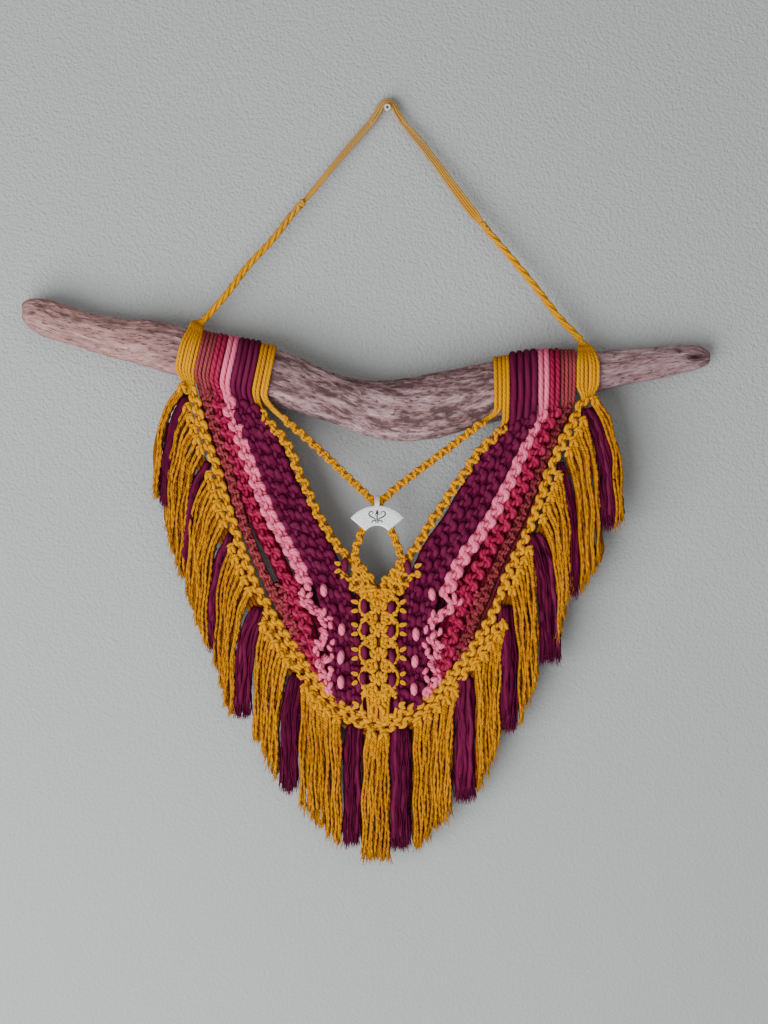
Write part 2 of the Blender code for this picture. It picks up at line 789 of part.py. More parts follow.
def build_hanger_loop():
    """The short bend of the strands over the nail's shank."""
    sections = []
    arch = Route([(point.x, 0, point.z) for point in LOOP_ARCH])
    for distance in np.linspace(0, arch.length, 9):
        x, _, z = arch.at(distance)
        along = arch.heading(distance)
        out = np.array([-along[2], 0, along[0]]) * LOOP_THICK / 2
        centre = np.array([x, 0, z])
        depths = np.linspace(LOOP_FRONT, LOOP_BACK, 3)
        crowns = (0.75, 1.0, 0.75)
        outer = [tuple(centre + out * crown + (0, depth, 0)) for crown, depth in zip(crowns, depths)]
        inner = [tuple(centre - out * crown + (0, depth, 0)) for crown, depth in zip(crowns, depths)]
        sections.append((outer, inner))
    add_object("hanger_loop", loft(sections), "mustard")


def main():
    for old in list(bpy.data.objects):
        bpy.data.objects.remove(old, do_unlink=True)
    build_branch()
    build_nail()
    build_hanger_loop()
    for side in ("left", "right"):
        build_hanger(side)
        build_edging(side)
        build_strap(side)
        for name in LANES:
            build_lane(side, name)
    build_column()
    build_charm()
    rng = np.random.default_rng(7)
    for number, bundle in enumerate(FRINGE):
        build_bundle(number + 1, bundle, "plum" if number % 2 else "mustard", rng)


main()
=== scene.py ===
"""Looks of the macrame wall hanging: cords, driftwood, charm, nail and a plain studio.

Metres throughout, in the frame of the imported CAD. X runs to the right, Y into the wall, Z up.
Every cord is a tube round a worked-out path, and each piece replaces one CAD node.
A picture step is 0.8 mm, counted to the right and down from the picture's top left corner.
"""

from __future__ import annotations

import json
import logging
import math
from dataclasses import dataclass
from enum import Enum

import bmesh
import bpy
import numpy as np
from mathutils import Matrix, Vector, noise

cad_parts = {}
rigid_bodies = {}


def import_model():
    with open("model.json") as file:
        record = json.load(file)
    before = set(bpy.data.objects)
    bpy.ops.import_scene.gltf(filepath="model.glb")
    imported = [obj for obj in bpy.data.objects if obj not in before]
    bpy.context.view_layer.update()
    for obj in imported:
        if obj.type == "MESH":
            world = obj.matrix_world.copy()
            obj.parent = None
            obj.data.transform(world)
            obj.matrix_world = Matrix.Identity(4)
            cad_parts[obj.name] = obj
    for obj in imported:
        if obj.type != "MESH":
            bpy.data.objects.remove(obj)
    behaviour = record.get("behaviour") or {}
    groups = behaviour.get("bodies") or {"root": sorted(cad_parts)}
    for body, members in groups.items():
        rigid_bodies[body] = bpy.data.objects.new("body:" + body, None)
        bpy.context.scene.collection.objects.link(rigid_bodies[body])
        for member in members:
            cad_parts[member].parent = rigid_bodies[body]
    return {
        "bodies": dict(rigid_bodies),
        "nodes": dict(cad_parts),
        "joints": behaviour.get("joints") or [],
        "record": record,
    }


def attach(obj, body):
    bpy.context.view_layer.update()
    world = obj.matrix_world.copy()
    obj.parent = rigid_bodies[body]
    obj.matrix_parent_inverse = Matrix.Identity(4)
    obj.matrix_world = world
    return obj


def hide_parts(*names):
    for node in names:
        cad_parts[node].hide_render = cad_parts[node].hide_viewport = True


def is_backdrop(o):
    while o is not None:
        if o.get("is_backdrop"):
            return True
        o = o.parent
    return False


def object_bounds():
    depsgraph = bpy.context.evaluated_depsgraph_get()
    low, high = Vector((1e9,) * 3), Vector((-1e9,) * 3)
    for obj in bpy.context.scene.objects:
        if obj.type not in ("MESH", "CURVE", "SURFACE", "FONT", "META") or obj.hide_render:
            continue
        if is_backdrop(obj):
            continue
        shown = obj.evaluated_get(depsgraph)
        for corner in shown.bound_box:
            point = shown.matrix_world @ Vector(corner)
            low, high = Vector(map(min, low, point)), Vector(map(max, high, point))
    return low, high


log = logging.getLogger("macrame")

Array = np.ndarray
Colour = tuple[float, float, float]
MM = 0.001
PHOTO_STEP = 0.8 * MM
# In picture steps: the nail, the middle column, and how much lower the right half's loops hang.
PHOTO_NAIL = (387.4, 103.2)
PHOTO_MIDDLE = 379.0
RIGHT_DROP = 4.0
OUT = np.array([0.0, -1.0, 0.0])
SIDES = ("left", "right")
SEED = 11


def unit(vectors: Array) -> Array:
    """Scales vectors to length one.

    Args:
        vectors: Any array whose last axis is XYZ.

    Returns:
        The same directions, each one metre long.
    """
    return vectors / np.maximum(np.linalg.norm(vectors, axis=-1, keepdims=True), 1e-12)


def spot(px: float, py: float) -> Array:
    """Places a point on the wall from where it shows.

    Args:
        px: Picture steps to the right.
        py: Picture steps down.

    Returns:
        The point in metres, at Y 0.
    """
    return np.array([(px - PHOTO_NAIL[0]) * PHOTO_STEP, 0.0, (PHOTO_NAIL[1] - py) * PHOTO_STEP])


@dataclass(frozen=True)
class SheetSize:
    """The top of the knotted sheet, and how it leans towards the wall below it, in metres."""

    top: float = -0.239
    height: float = 0.251
    depth: float = -37.0 * MM
    lean: float = 11.0 * MM
    beyond: float = 1.4


def add(name: str, data: bpy.types.ID) -> bpy.types.Object:
    """Puts a new object into the scene.

    Args:
        name: Its name.
        data: Its mesh, light or camera.

    Returns:
        The object.
    """
    obj = bpy.data.objects.new(name, data)
    bpy.context.scene.collection.objects.link(obj)
    return obj


def sheet_depth(z: Array) -> Array:
    """Depth of the knotted sheet's middle.

    Args:
        z: Height in metres.

    Returns:
        Y in metres, nearest to the wall at the bottom.
    """
    size = SheetSize
    return size.depth + size.lean * np.clip((size.top - np.asarray(z)) / size.height, 0, size.beyond)


def on_sheet(points: Array, depth: Array | float = 0.0) -> Array:
    """Places points of the picture on the knotted sheet.

    Args:
        points: Picture steps to the right and down, a row for each point.
        depth: Metres behind the sheet's middle, or in front of it below 0.

    Returns:
        One XYZ row for each point.
    """
    rows = np.array([spot(px, py) for px, py in points])
    rows[:, 1] = sheet_depth(rows[:, 2]) + depth
    return rows


def on_side(points: Array, side: str, drop: float = RIGHT_DROP) -> Array:
    """Gives points of the picture's left half their place on one side.

    Args:
        points: Picture steps to the right and down, a row for each point.
        side: left keeps them, right turns them over about the middle column.
        drop: Picture steps by which the right side's points hang lower.

    Returns:
        The points, a row for each.
    """
    rows = np.array(points, float)
    if side == "right":
        rows[:, 0] = 2 * PHOTO_MIDDLE - rows[:, 0]
        rows[:, 1] += drop
    return rows


class Route:
    """A smooth curve through set points, read by the distance along it."""

    def __init__(self, points: Array) -> None:
        """Measures the curve.

        Args:
            points: One XYZ row for each set point.
        """
        self.points = np.asarray(points, float)
        steps = np.linalg.norm(np.diff(self.points, axis=0), axis=1)
        self.stops = np.concatenate([[0.0], np.cumsum(steps)])
        self.slopes = np.gradient(self.points, self.stops, axis=0)

    @property
    def length(self) -> float:
        """Distance from the first point to the last."""
        return float(self.stops[-1])

    def at(self, distances: Array) -> Array:
        """Reads points on the curve.

        Args:
            distances: Metres from the start.

        Returns:
            One XYZ row for each distance.
        """
        distances = np.asarray(distances, float)
        i = np.clip(np.searchsorted(self.stops, distances) - 1, 0, len(self.stops) - 2)
        span = (self.stops[i + 1] - self.stops[i])[..., None]
        t = (distances - self.stops[i])[..., None] / span
        rise, leave = self.slopes[i] * span, self.slopes[i + 1] * span
        return (
            (1 + 2 * t) * (1 - t) ** 2 * self.points[i]
            + t * (1 - t) ** 2 * rise
            + t * t * (3 - 2 * t) * self.points[i + 1]
            + t * t * (t - 1) * leave
        )

    def even(self, count: int) -> Array:
        """Reads a number of evenly spaced points from end to end."""
        return self.at(np.linspace(0, self.length, count))

    def frame(self, distances: Array) -> tuple[Array, Array, Array, Array]:
        """Reads points with their directions.

        Args:
            distances: Metres from the start.

        Returns:
            Points, and the directions along the curve, across it and out of the wall.
        """
        distances = np.asarray(distances, float)
        along = unit(self.at(distances + 0.5 * MM) - self.at(distances - 0.5 * MM))
        across = unit(np.cross(along, OUT))
        return self.at(distances), along, across, np.cross(across, along)


# ---- cords


class Tint(Enum):
    """The record's cord slots."""

    MUSTARD = "mustard_cord"
    PLUM = "plum_cord"
    PINK = "pink_cord"
    RASPBERRY = "raspberry_cord"
    DUSTY_ROSE = "dusty_rose_cord"


@dataclass(frozen=True)
class Yarn:
    """A kind of cord.

    Attributes:
        tint: The slot that it takes.
        radius: Metres.
        plies: Plies that show on its surface.
        twist: Length of one full turn of a ply, in metres.
        crease: Depth of the groove between plies, as a share of the radius.
        sides: Sides of the tube.
    """

    tint: Tint
    radius: float
    plies: int = 3
    twist: float = 13.0 * MM
    crease: float = 0.16
    sides: int = 8


@dataclass(frozen=True)
class Tie:
    """How a knotted bar is tied. Sizes are metres.

    Knots on one side are a `pitch` apart, stand `depth` out of the bar's middle, have `strands`
    cords side by side and differ by the share `loose`. Behind them lie `cores` straight cords,
    darkened as painted shade, the outer ones `core_reach` from the middle.
    """

    pitch: float
    half_width: float
    depth: float
    strands: int
    loose: float
    cores: int = 2
    core_reach: float = 1.1 * MM


KNOT_RINGS = 7
KNOT_SIDES = 8
KNOT_TWIST = 14 * MM
# A cord's tone carries painted shade, darker where its surface faces away from the front: the least facing
# that counts, and the facing at which the shade is 0.
TONE_FLOOR = -0.2
TONE_MIDDLE = 0.6
MUSTARD = Yarn(Tint.MUSTARD, 1.75 * MM, plies=3, twist=11 * MM, crease=0.12)
PLUM = Yarn(Tint.PLUM, 2.8 * MM, plies=2, twist=60 * MM, crease=0.05)
PINK = Yarn(Tint.PINK, 2.8 * MM, plies=4, twist=16 * MM, crease=0.07, sides=10)
RASPBERRY = Yarn(Tint.RASPBERRY, 1.9 * MM, plies=3, twist=12 * MM, crease=0.12)
DUSTY_ROSE = Yarn(Tint.DUSTY_ROSE, 1.6 * MM, plies=3, twist=10 * MM, crease=0.12)


class CordMesh:
    """Gathers cords as tubes and turns them into one mesh."""

    def __init__(self, yarn: Yarn, seed: int) -> None:
        """Starts an empty mesh.

        Args:
            yarn: The cord that most of its tubes are made of.
            seed: For its own random numbers.
        """
        self.yarn = yarn
        self.rng = np.random.default_rng(seed)
        self.verts: list[Array] = []
        self.quads: list[Array] = []
        self.caps: list[Array] = []
        self.uvs: list[Array] = []
        self.tones: list[Array] = []
        self.count = 0

    @staticmethod
    def _normals(tangent: Array) -> Array:
        """Carries a first normal along each path without twisting it.

        Args:
            tangent: Directions along the paths, of shape (paths, points, 3).

        Returns:
            Directions across them, of the same shape.
        """
        seed = np.where(np.abs(tangent[:, :1, 1:2]) < 0.8, [[[0.0, 1.0, 0.0]]], [[[1.0, 0.0, 0.0]]])
        normals = np.empty_like(tangent)
        carried = seed[:, 0]
        for i in range(tangent.shape[1]):
            step = tangent[:, i]
            carried = unit(carried - (carried * step).sum(-1, keepdims=True) * step)
            normals[:, i] = carried
        return normals

    def run(
        self,
        paths: Array,
        radii: Array | float | None = None,
        tone: Array | float = 0.0,
        closed: bool = False,
        sides: int | None = None,
        twist: float | None = None,
    ) -> None:
        """Adds one tube for each path.

        Args:
            paths: Array of shape (paths, points, 3), or (points, 3) for one.
            radii: Radius everywhere, for each point, or for each point of each path.
            tone: Lighter (+) or darker (-), given in the same ways.
            closed: Whether each path joins its own start.
            sides: Sides of the tube, if not the yarn's.
            twist: Length of a full turn of the plies, if not the yarn's.
        """
        paths = np.asarray(paths, float)
        paths = paths[None] if paths.ndim == 2 else paths
        m, n, _ = paths.shape
        k = sides or self.yarn.sides
        radii = np.broadcast_to(self.yarn.radius if radii is None else radii, (m, n))
        tones = np.broadcast_to(tone, (m, n))
        if closed:
            tangent = unit(np.roll(paths, -1, axis=1) - np.roll(paths, 1, axis=1))
        else:
            tangent = unit(np.gradient(paths, axis=1))
        normal = self._normals(tangent)
        side = np.cross(tangent, normal)
        steps = np.linalg.norm(np.diff(paths, axis=1), axis=2)
        travelled = np.concatenate([np.zeros((m, 1)), np.cumsum(steps, axis=1)], axis=1)
        turns = travelled / (twist or self.yarn.twist) + self.rng.uniform(0, 1, (m, 1))
        angle = math.tau * np.arange(k) / k
        phase = self.yarn.plies * (angle / math.tau + turns[..., None])
        profile = 1 - self.yarn.crease * (1 - np.abs(np.cos(math.pi * phase)))
        reach = (radii[..., None] * profile)[..., None]
        ring = np.cos(angle)[:, None] * normal[:, :, None] + np.sin(angle)[:, None] * side[:, :, None]
        self.verts.append((paths[:, :, None] + reach * ring).reshape(-1, 3))
        # Painted shade: each vertex's tone falls as its surface turns away from the front.
        crown = np.maximum(ring @ OUT, TONE_FLOOR) - TONE_MIDDLE
        self.tones.append((tones[..., None] + crown).reshape(-1))
        self._weave(m, n, k, turns, closed)

    def _weave(self, m: int, n: int, k: int, turns: Array, closed: bool) -> None:
        """Adds the faces of a run of tubes, and their UVs.

        Args:
            m: Number of tubes.
            n: Rings in each.
            k: Sides of each.
            turns: Turns of the plies at each ring, of shape (m, n).
            closed: Whether each tube joins its own start.
        """
        rows = n if closed else n - 1
        i = np.arange(rows)[:, None]
        j = np.arange(k)[None]
        following, right = (i + 1) % n * k, (j + 1) % k
        quad = np.stack([i * k + j, i * k + right, following + right, following + j], axis=-1)
        starts = self.count + np.arange(m)[:, None, None, None] * n * k
        self.quads.append((quad[None] + starts).reshape(-1, 4))
        step = turns[:, 1:] - turns[:, :-1]
        low = turns[:, :rows]
        high = low + np.concatenate([step, step[:, -1:]], axis=1)[:, :rows]
        u = np.stack([j, j + 1, j + 1, j], axis=-1)[0] / k
        uv = np.zeros((m, rows, k, 4, 2))
        uv[..., 0] = u
        uv[..., 0:2, 1] = low[:, :, None, None]
        uv[..., 2:4, 1] = high[:, :, None, None]
        self.uvs.append(uv.reshape(-1, 2))
        if not closed:
            ends = self.count + np.arange(m)[:, None] * n * k
            self.caps.append(ends + np.arange(k)[::-1])
            self.caps.append(ends + (n - 1) * k + np.arange(k))
        self.count += m * n * k

    def tie(
        self, route: Route, tie: Tie, start: float, end: float, tone: float = 0.0, grow: tuple = (1.0, 1.0)
    ) -> None:
        """Adds a bar of knots, each a rounded lobe of cord that stands out to its own side.

        Args:
            route: Middle line of the bar.
            tie: How it is tied.
            start: Metres along the route.
            end: Metres along the route.
            tone: Lighter (+) or darker (-).
            grow: Share of the width at the start and at the end.
        """
        count = max(2, round((end - start) / (tie.pitch / 2)))
        spots = np.linspace(start, end, count) + self.rng.uniform(-1, 1, count) * tie.loose * tie.pitch * 0.3
        centre, along, across, out = (part[:, None, :] for part in route.frame(spots))
        side = np.where(np.arange(count) % 2, 1.0, -1.0)[:, None, None]
        half = tie.half_width * np.linspace(*grow, count)[:, None, None]
        t = np.linspace(-1, 1, KNOT_RINGS + 2)[None, :, None]
        swell = np.sqrt(1 - 0.9 * np.abs(t[..., 0]) ** 2.8)
        pieces = []
        if tie.strands == 1:
            vary = 1 + tie.loose * self.rng.uniform(-1, 1, (3, count, 1, 1))
            turn = t * math.radians(80) + (vary[2] - 1) * 2 + 0.25 * side
            reach = (0.12 + (0.88 * vary[0] - 0.44) * np.cos(turn)) * half * side
            rise = (0.46 * tie.pitch - 0.22 * half) * vary[1] * np.sin(turn)
            pieces.append((reach, rise, 0.8 - 0.5 * t**2 - 0.3 * t, 0.44))
        else:
            for part in (-1, 1):
                vary = 1 + tie.loose * self.rng.uniform(-1, 1, (3, count, 1, 1))
                reach = (0.36 * vary[0] + 0.32 * t + 0.1 * (1 - t**2)) * half * side
                rise = part * (0.17 * vary[1] - 0.15 * t * vary[2]) * tie.pitch
                pieces.append((reach, rise, 0.75 - 0.45 * t**2 - 0.1 * part, 0.33))
        lean = side * (0.16 + self.rng.uniform(-0.1, 0.1, (count, 1, 1)))
        reach = (lean * t - 0.05 * side) * half
        pieces.append((reach, (0.26 - 0.26 * t) * tie.pitch, 0.95 - 0.5 * t**2, 0.3))
        for reach, rise, lift, share in pieces:
            # Painted shade: each lobe darkens towards its ends, where it tucks under its neighbours.
            shade = tone + self.rng.uniform(-0.22, 0.18, (count, 1)) - 0.5 * np.abs(t[..., 0]) ** 3
            path = centre + across * reach + along * rise + out * tie.depth * lift
            self.run(path, share * half[..., 0] * swell, shade, sides=KNOT_SIDES, twist=KNOT_TWIST)
        # The cores are darkened by 0.7 as painted shade behind the knots.
        centre, _, across, out = route.frame(np.linspace(start, end, max(6, 2 * count)))
        for way in np.linspace(-1, 1, tie.cores):
            self.run(centre + way * across * tie.core_reach - out * 0.8 * MM, tone=tone - 0.7)

    def passes(
        self, centre: Array, angle: Array, length: Array, radius: float, tone: Array | float
    ) -> None:
        """Adds short fat passes of cord that lie on top of the work like leaves.

        Args:
            centre: One XYZ row for each.
            angle: Turn of each from level, in radians.
            length: Length of each, in metres.
            radius: Radius at the middle.
            tone: Lighter (+) or darker (-).
        """
        t = np.linspace(-1, 1, KNOT_RINGS)[None, :, None]
        swell = np.sqrt(np.clip(1 - 0.9 * np.abs(t[..., 0]) ** 2.4, 0, 1))
        way = np.stack([np.cos(angle), 0 * angle, np.sin(angle)], axis=-1)[:, None]
        half = np.reshape(length, (-1, 1, 1)) / 2
        path = centre[:, None] + way * t * half + OUT * (1 - t * t) * 0.5 * radius
        # Painted shade: each pass darkens towards its ends, where it tucks under the work.
        shade = np.reshape(tone, (-1, 1)) - 0.4 * np.abs(t[..., 0]) ** 3
        self.run(path, radius * swell, shade, sides=KNOT_SIDES)

    def make(self, name: str) -> bpy.types.Object:
        """Makes the mesh object.

        Args:
            name: The object's name.

        Returns:
            The object, linked to the scene.
        """
        quads = np.concatenate(self.quads)
        caps = [row for block in self.caps for row in block.tolist()]
        mesh = bpy.data.meshes.new(name)
        mesh.from_pydata(np.concatenate(self.verts), [], quads.tolist() + caps)
        layer = mesh.uv_layers.new(name="twist")
        uvs = np.zeros((len(mesh.loops), 2), np.float32)
        uvs[: quads.size] = np.concatenate(self.uvs)
        layer.data.foreach_set("uv", uvs.ravel())
        tone = mesh.attributes.new("tone", "FLOAT", "POINT")
        tone.data.foreach_set("value", np.concatenate(self.tones).astype(np.float32))
        mesh.shade_smooth()
        return add(name, mesh)


# ---- materials


@dataclass
class Graph:
    """Writes shader nodes into one tree."""

    tree: bpy.types.NodeTree

    def feed(self, node: bpy.types.Node, inputs: dict) -> None:
        """Sets or connects a node's inputs.

        Args:
            node: The node.
            inputs: Input name or number to a value or to another node's output.
        """
        for key, value in inputs.items():
            if isinstance(value, bpy.types.NodeSocket):
                self.tree.links.new(value, node.inputs[key])
            else:
                node.inputs[key].default_value = value

    def node(self, kind: str, inputs: dict | None = None, **settings: object) -> bpy.types.Node:
        """Adds a node.

        Args:
            kind: Its type name without the ShaderNode prefix.
            inputs: Input name or number to a value or to another node's output.
            **settings: Its own properties.

        Returns:
            The node.
        """
        made = self.tree.nodes.new("ShaderNode" + kind)
        for key, value in settings.items():
            setattr(made, key, value)
        self.feed(made, inputs or {})
        return made

    def math(self, operation: str, *values: object) -> bpy.types.NodeSocket:
        """Adds a math node and returns its output."""
        return self.node("Math", dict(enumerate(values)), operation=operation).outputs[0]

    def span(self, value: object, start: float, end: float, low: float, high: float) -> bpy.types.NodeSocket:
        """Maps a value that runs from start to end to one from low to high, and holds it beyond."""
        ends = {"From Min": start, "From Max": end, "To Min": low, "To Max": high}
        return self.node("MapRange", {"Value": value} | ends).outputs["Result"]

    def axis(self, vector: object, name: str) -> bpy.types.NodeSocket:
        """Reads the X, Y or Z of a vector."""
        return self.node("SeparateXYZ", {"Vector": vector}).outputs[name]

    def bump(self, height: object, strength: float, distance: float) -> bpy.types.NodeSocket:
        """Adds a bump and returns its normal."""
        inputs = {"Strength": strength, "Distance": distance, "Height": height}
        return self.node("Bump", inputs).outputs[0]

    def ramp(self, value: bpy.types.NodeSocket, stops: tuple) -> bpy.types.NodeSocket:
        """Adds a colour ramp.

        Args:
            value: What it reads.
            stops: Pairs of a place and a colour.

        Returns:
            Its colour.
        """
        made = self.node("ValToRGB", {0: value})
        elements = made.color_ramp.elements
        while len(elements) < len(stops):
            elements.new(0.5)
        for element, (place, colour) in zip(elements, stops):
            element.position = place
            element.color = (*colour, 1.0)
        return made.outputs[0]

    def mix(self, share: object, low: object, high: object, blend: str = "MIX") -> bpy.types.NodeSocket:
        """Mixes two colours or outputs by the share of the second that shows."""
        low, high = ((*value, 1.0) if isinstance(value, tuple) else value for value in (low, high))
        return self.node("Mix", {0: share, 6: low, 7: high}, data_type="RGBA", blend_type=blend).outputs[2]

    def noise(self, vector: object, scale: float, detail: float = 2.0) -> bpy.types.NodeSocket:
        """Adds a noise texture and returns its value."""
        return self.node("TexNoise", {"Vector": vector, "Scale": scale, "Detail": detail}).outputs[0]


@dataclass(frozen=True)
class CottonFinish:
    """Colours of one cotton, from painted shade in its creases to painted light on its crowns, and how its
    plies show.
    """

    shade: Colour
    body: Colour
    light: Colour
    plies: float
    ply_depth: float = 0.4
    sheen: float = 0.0


@dataclass(frozen=True)
class MetalFinish:
    """A metal's colour and roughness, and the scale and strength of its hammering."""

    colour: Colour
    rough: float
    scale: float
    dents: float


@dataclass(frozen=True)
class WoodFinish:
    """Weathered wood, from its darkest streaks to its bleached ones.

    Contrast and lift are given for the middle and for the ends, which lie between the grain
    lengths of `ends`. The left end's tint fades over those of `left_end`.
    """

    stops: tuple[tuple[float, Colour], ...] = (
        (0.33, (0.105, 0.056, 0.054)),
        (0.44, (0.215, 0.118, 0.118)),
        (0.55, (0.34, 0.194, 0.198)),
        (0.72, (0.50, 0.325, 0.335)),
    )
    ends: tuple[float, float] = (3.0, 7.0)
    contrast: tuple[float, float] = (1.35, 0.7)
    lift: tuple[float, float] = (0.475, 0.575)
    left_end: tuple[float, float] = (-6.5, -4.0)
    left_tint: Colour = (1.04, 0.94, 0.84)
    pit: Colour = (0.095, 0.052, 0.050)
    hollow: Colour = (0.045, 0.022, 0.019)


@dataclass(frozen=True)
class StudioFinish:
    """Colours of the wall and floor, and heights over which the plaster's relief grows from a share."""

    wall: tuple[Colour, Colour] = ((0.405, 0.405, 0.398), (0.445, 0.446, 0.44))
    floor: tuple[Colour, Colour] = ((0.50, 0.50, 0.48), (0.54, 0.54, 0.52))
    smooth: tuple[float, float] = (-0.6, -0.2)
    relief: float = 0.35


COTTONS = {
    Tint.MUSTARD: CottonFinish((0.24, 0.068, 0.0), (0.67, 0.262, 0.0), (0.85, 0.40, 0.0), 3.0),
    Tint.PLUM: CottonFinish(
        (0.022, 0.0003, 0.007), (0.115, 0.004, 0.033), (0.19, 0.022, 0.072), 2.0, 0.12
    ),
    Tint.PINK: CottonFinish((0.28, 0.026, 0.072), (0.84, 0.132, 0.25), (0.98, 0.27, 0.41), 4.0),
    Tint.RASPBERRY: CottonFinish((0.09, 0.001, 0.011), (0.30, 0.008, 0.044), (0.49, 0.045, 0.11), 3.0),
    Tint.DUSTY_ROSE: CottonFinish(
        (0.08, 0.006, 0.010), (0.275, 0.034, 0.042), (0.43, 0.09, 0.10), 3.0, sheen=0.03
    ),
}
METALS = {
    "charm_silver": MetalFinish((0.98, 0.97, 0.96), 0.42, 1100.0, 0.9),
    "nail_metal": MetalFinish((0.90, 0.80, 0.66), 0.34, 400.0, 0.15),
    "nail_recess": MetalFinish((0.10, 0.062, 0.040), 0.5, 400.0, 0.15),
    "charm_dark": MetalFinish((0.05, 0.048, 0.05), 0.55, 700.0, 0.2),
}
# The hanger fades towards the nail: heights between which it does, how far, and to what colour.
FADE_HEIGHTS = (-0.12, -0.03)
FADE_SHARE = 0.6
FADE_COLOUR = (0.37, 0.26, 0.12)


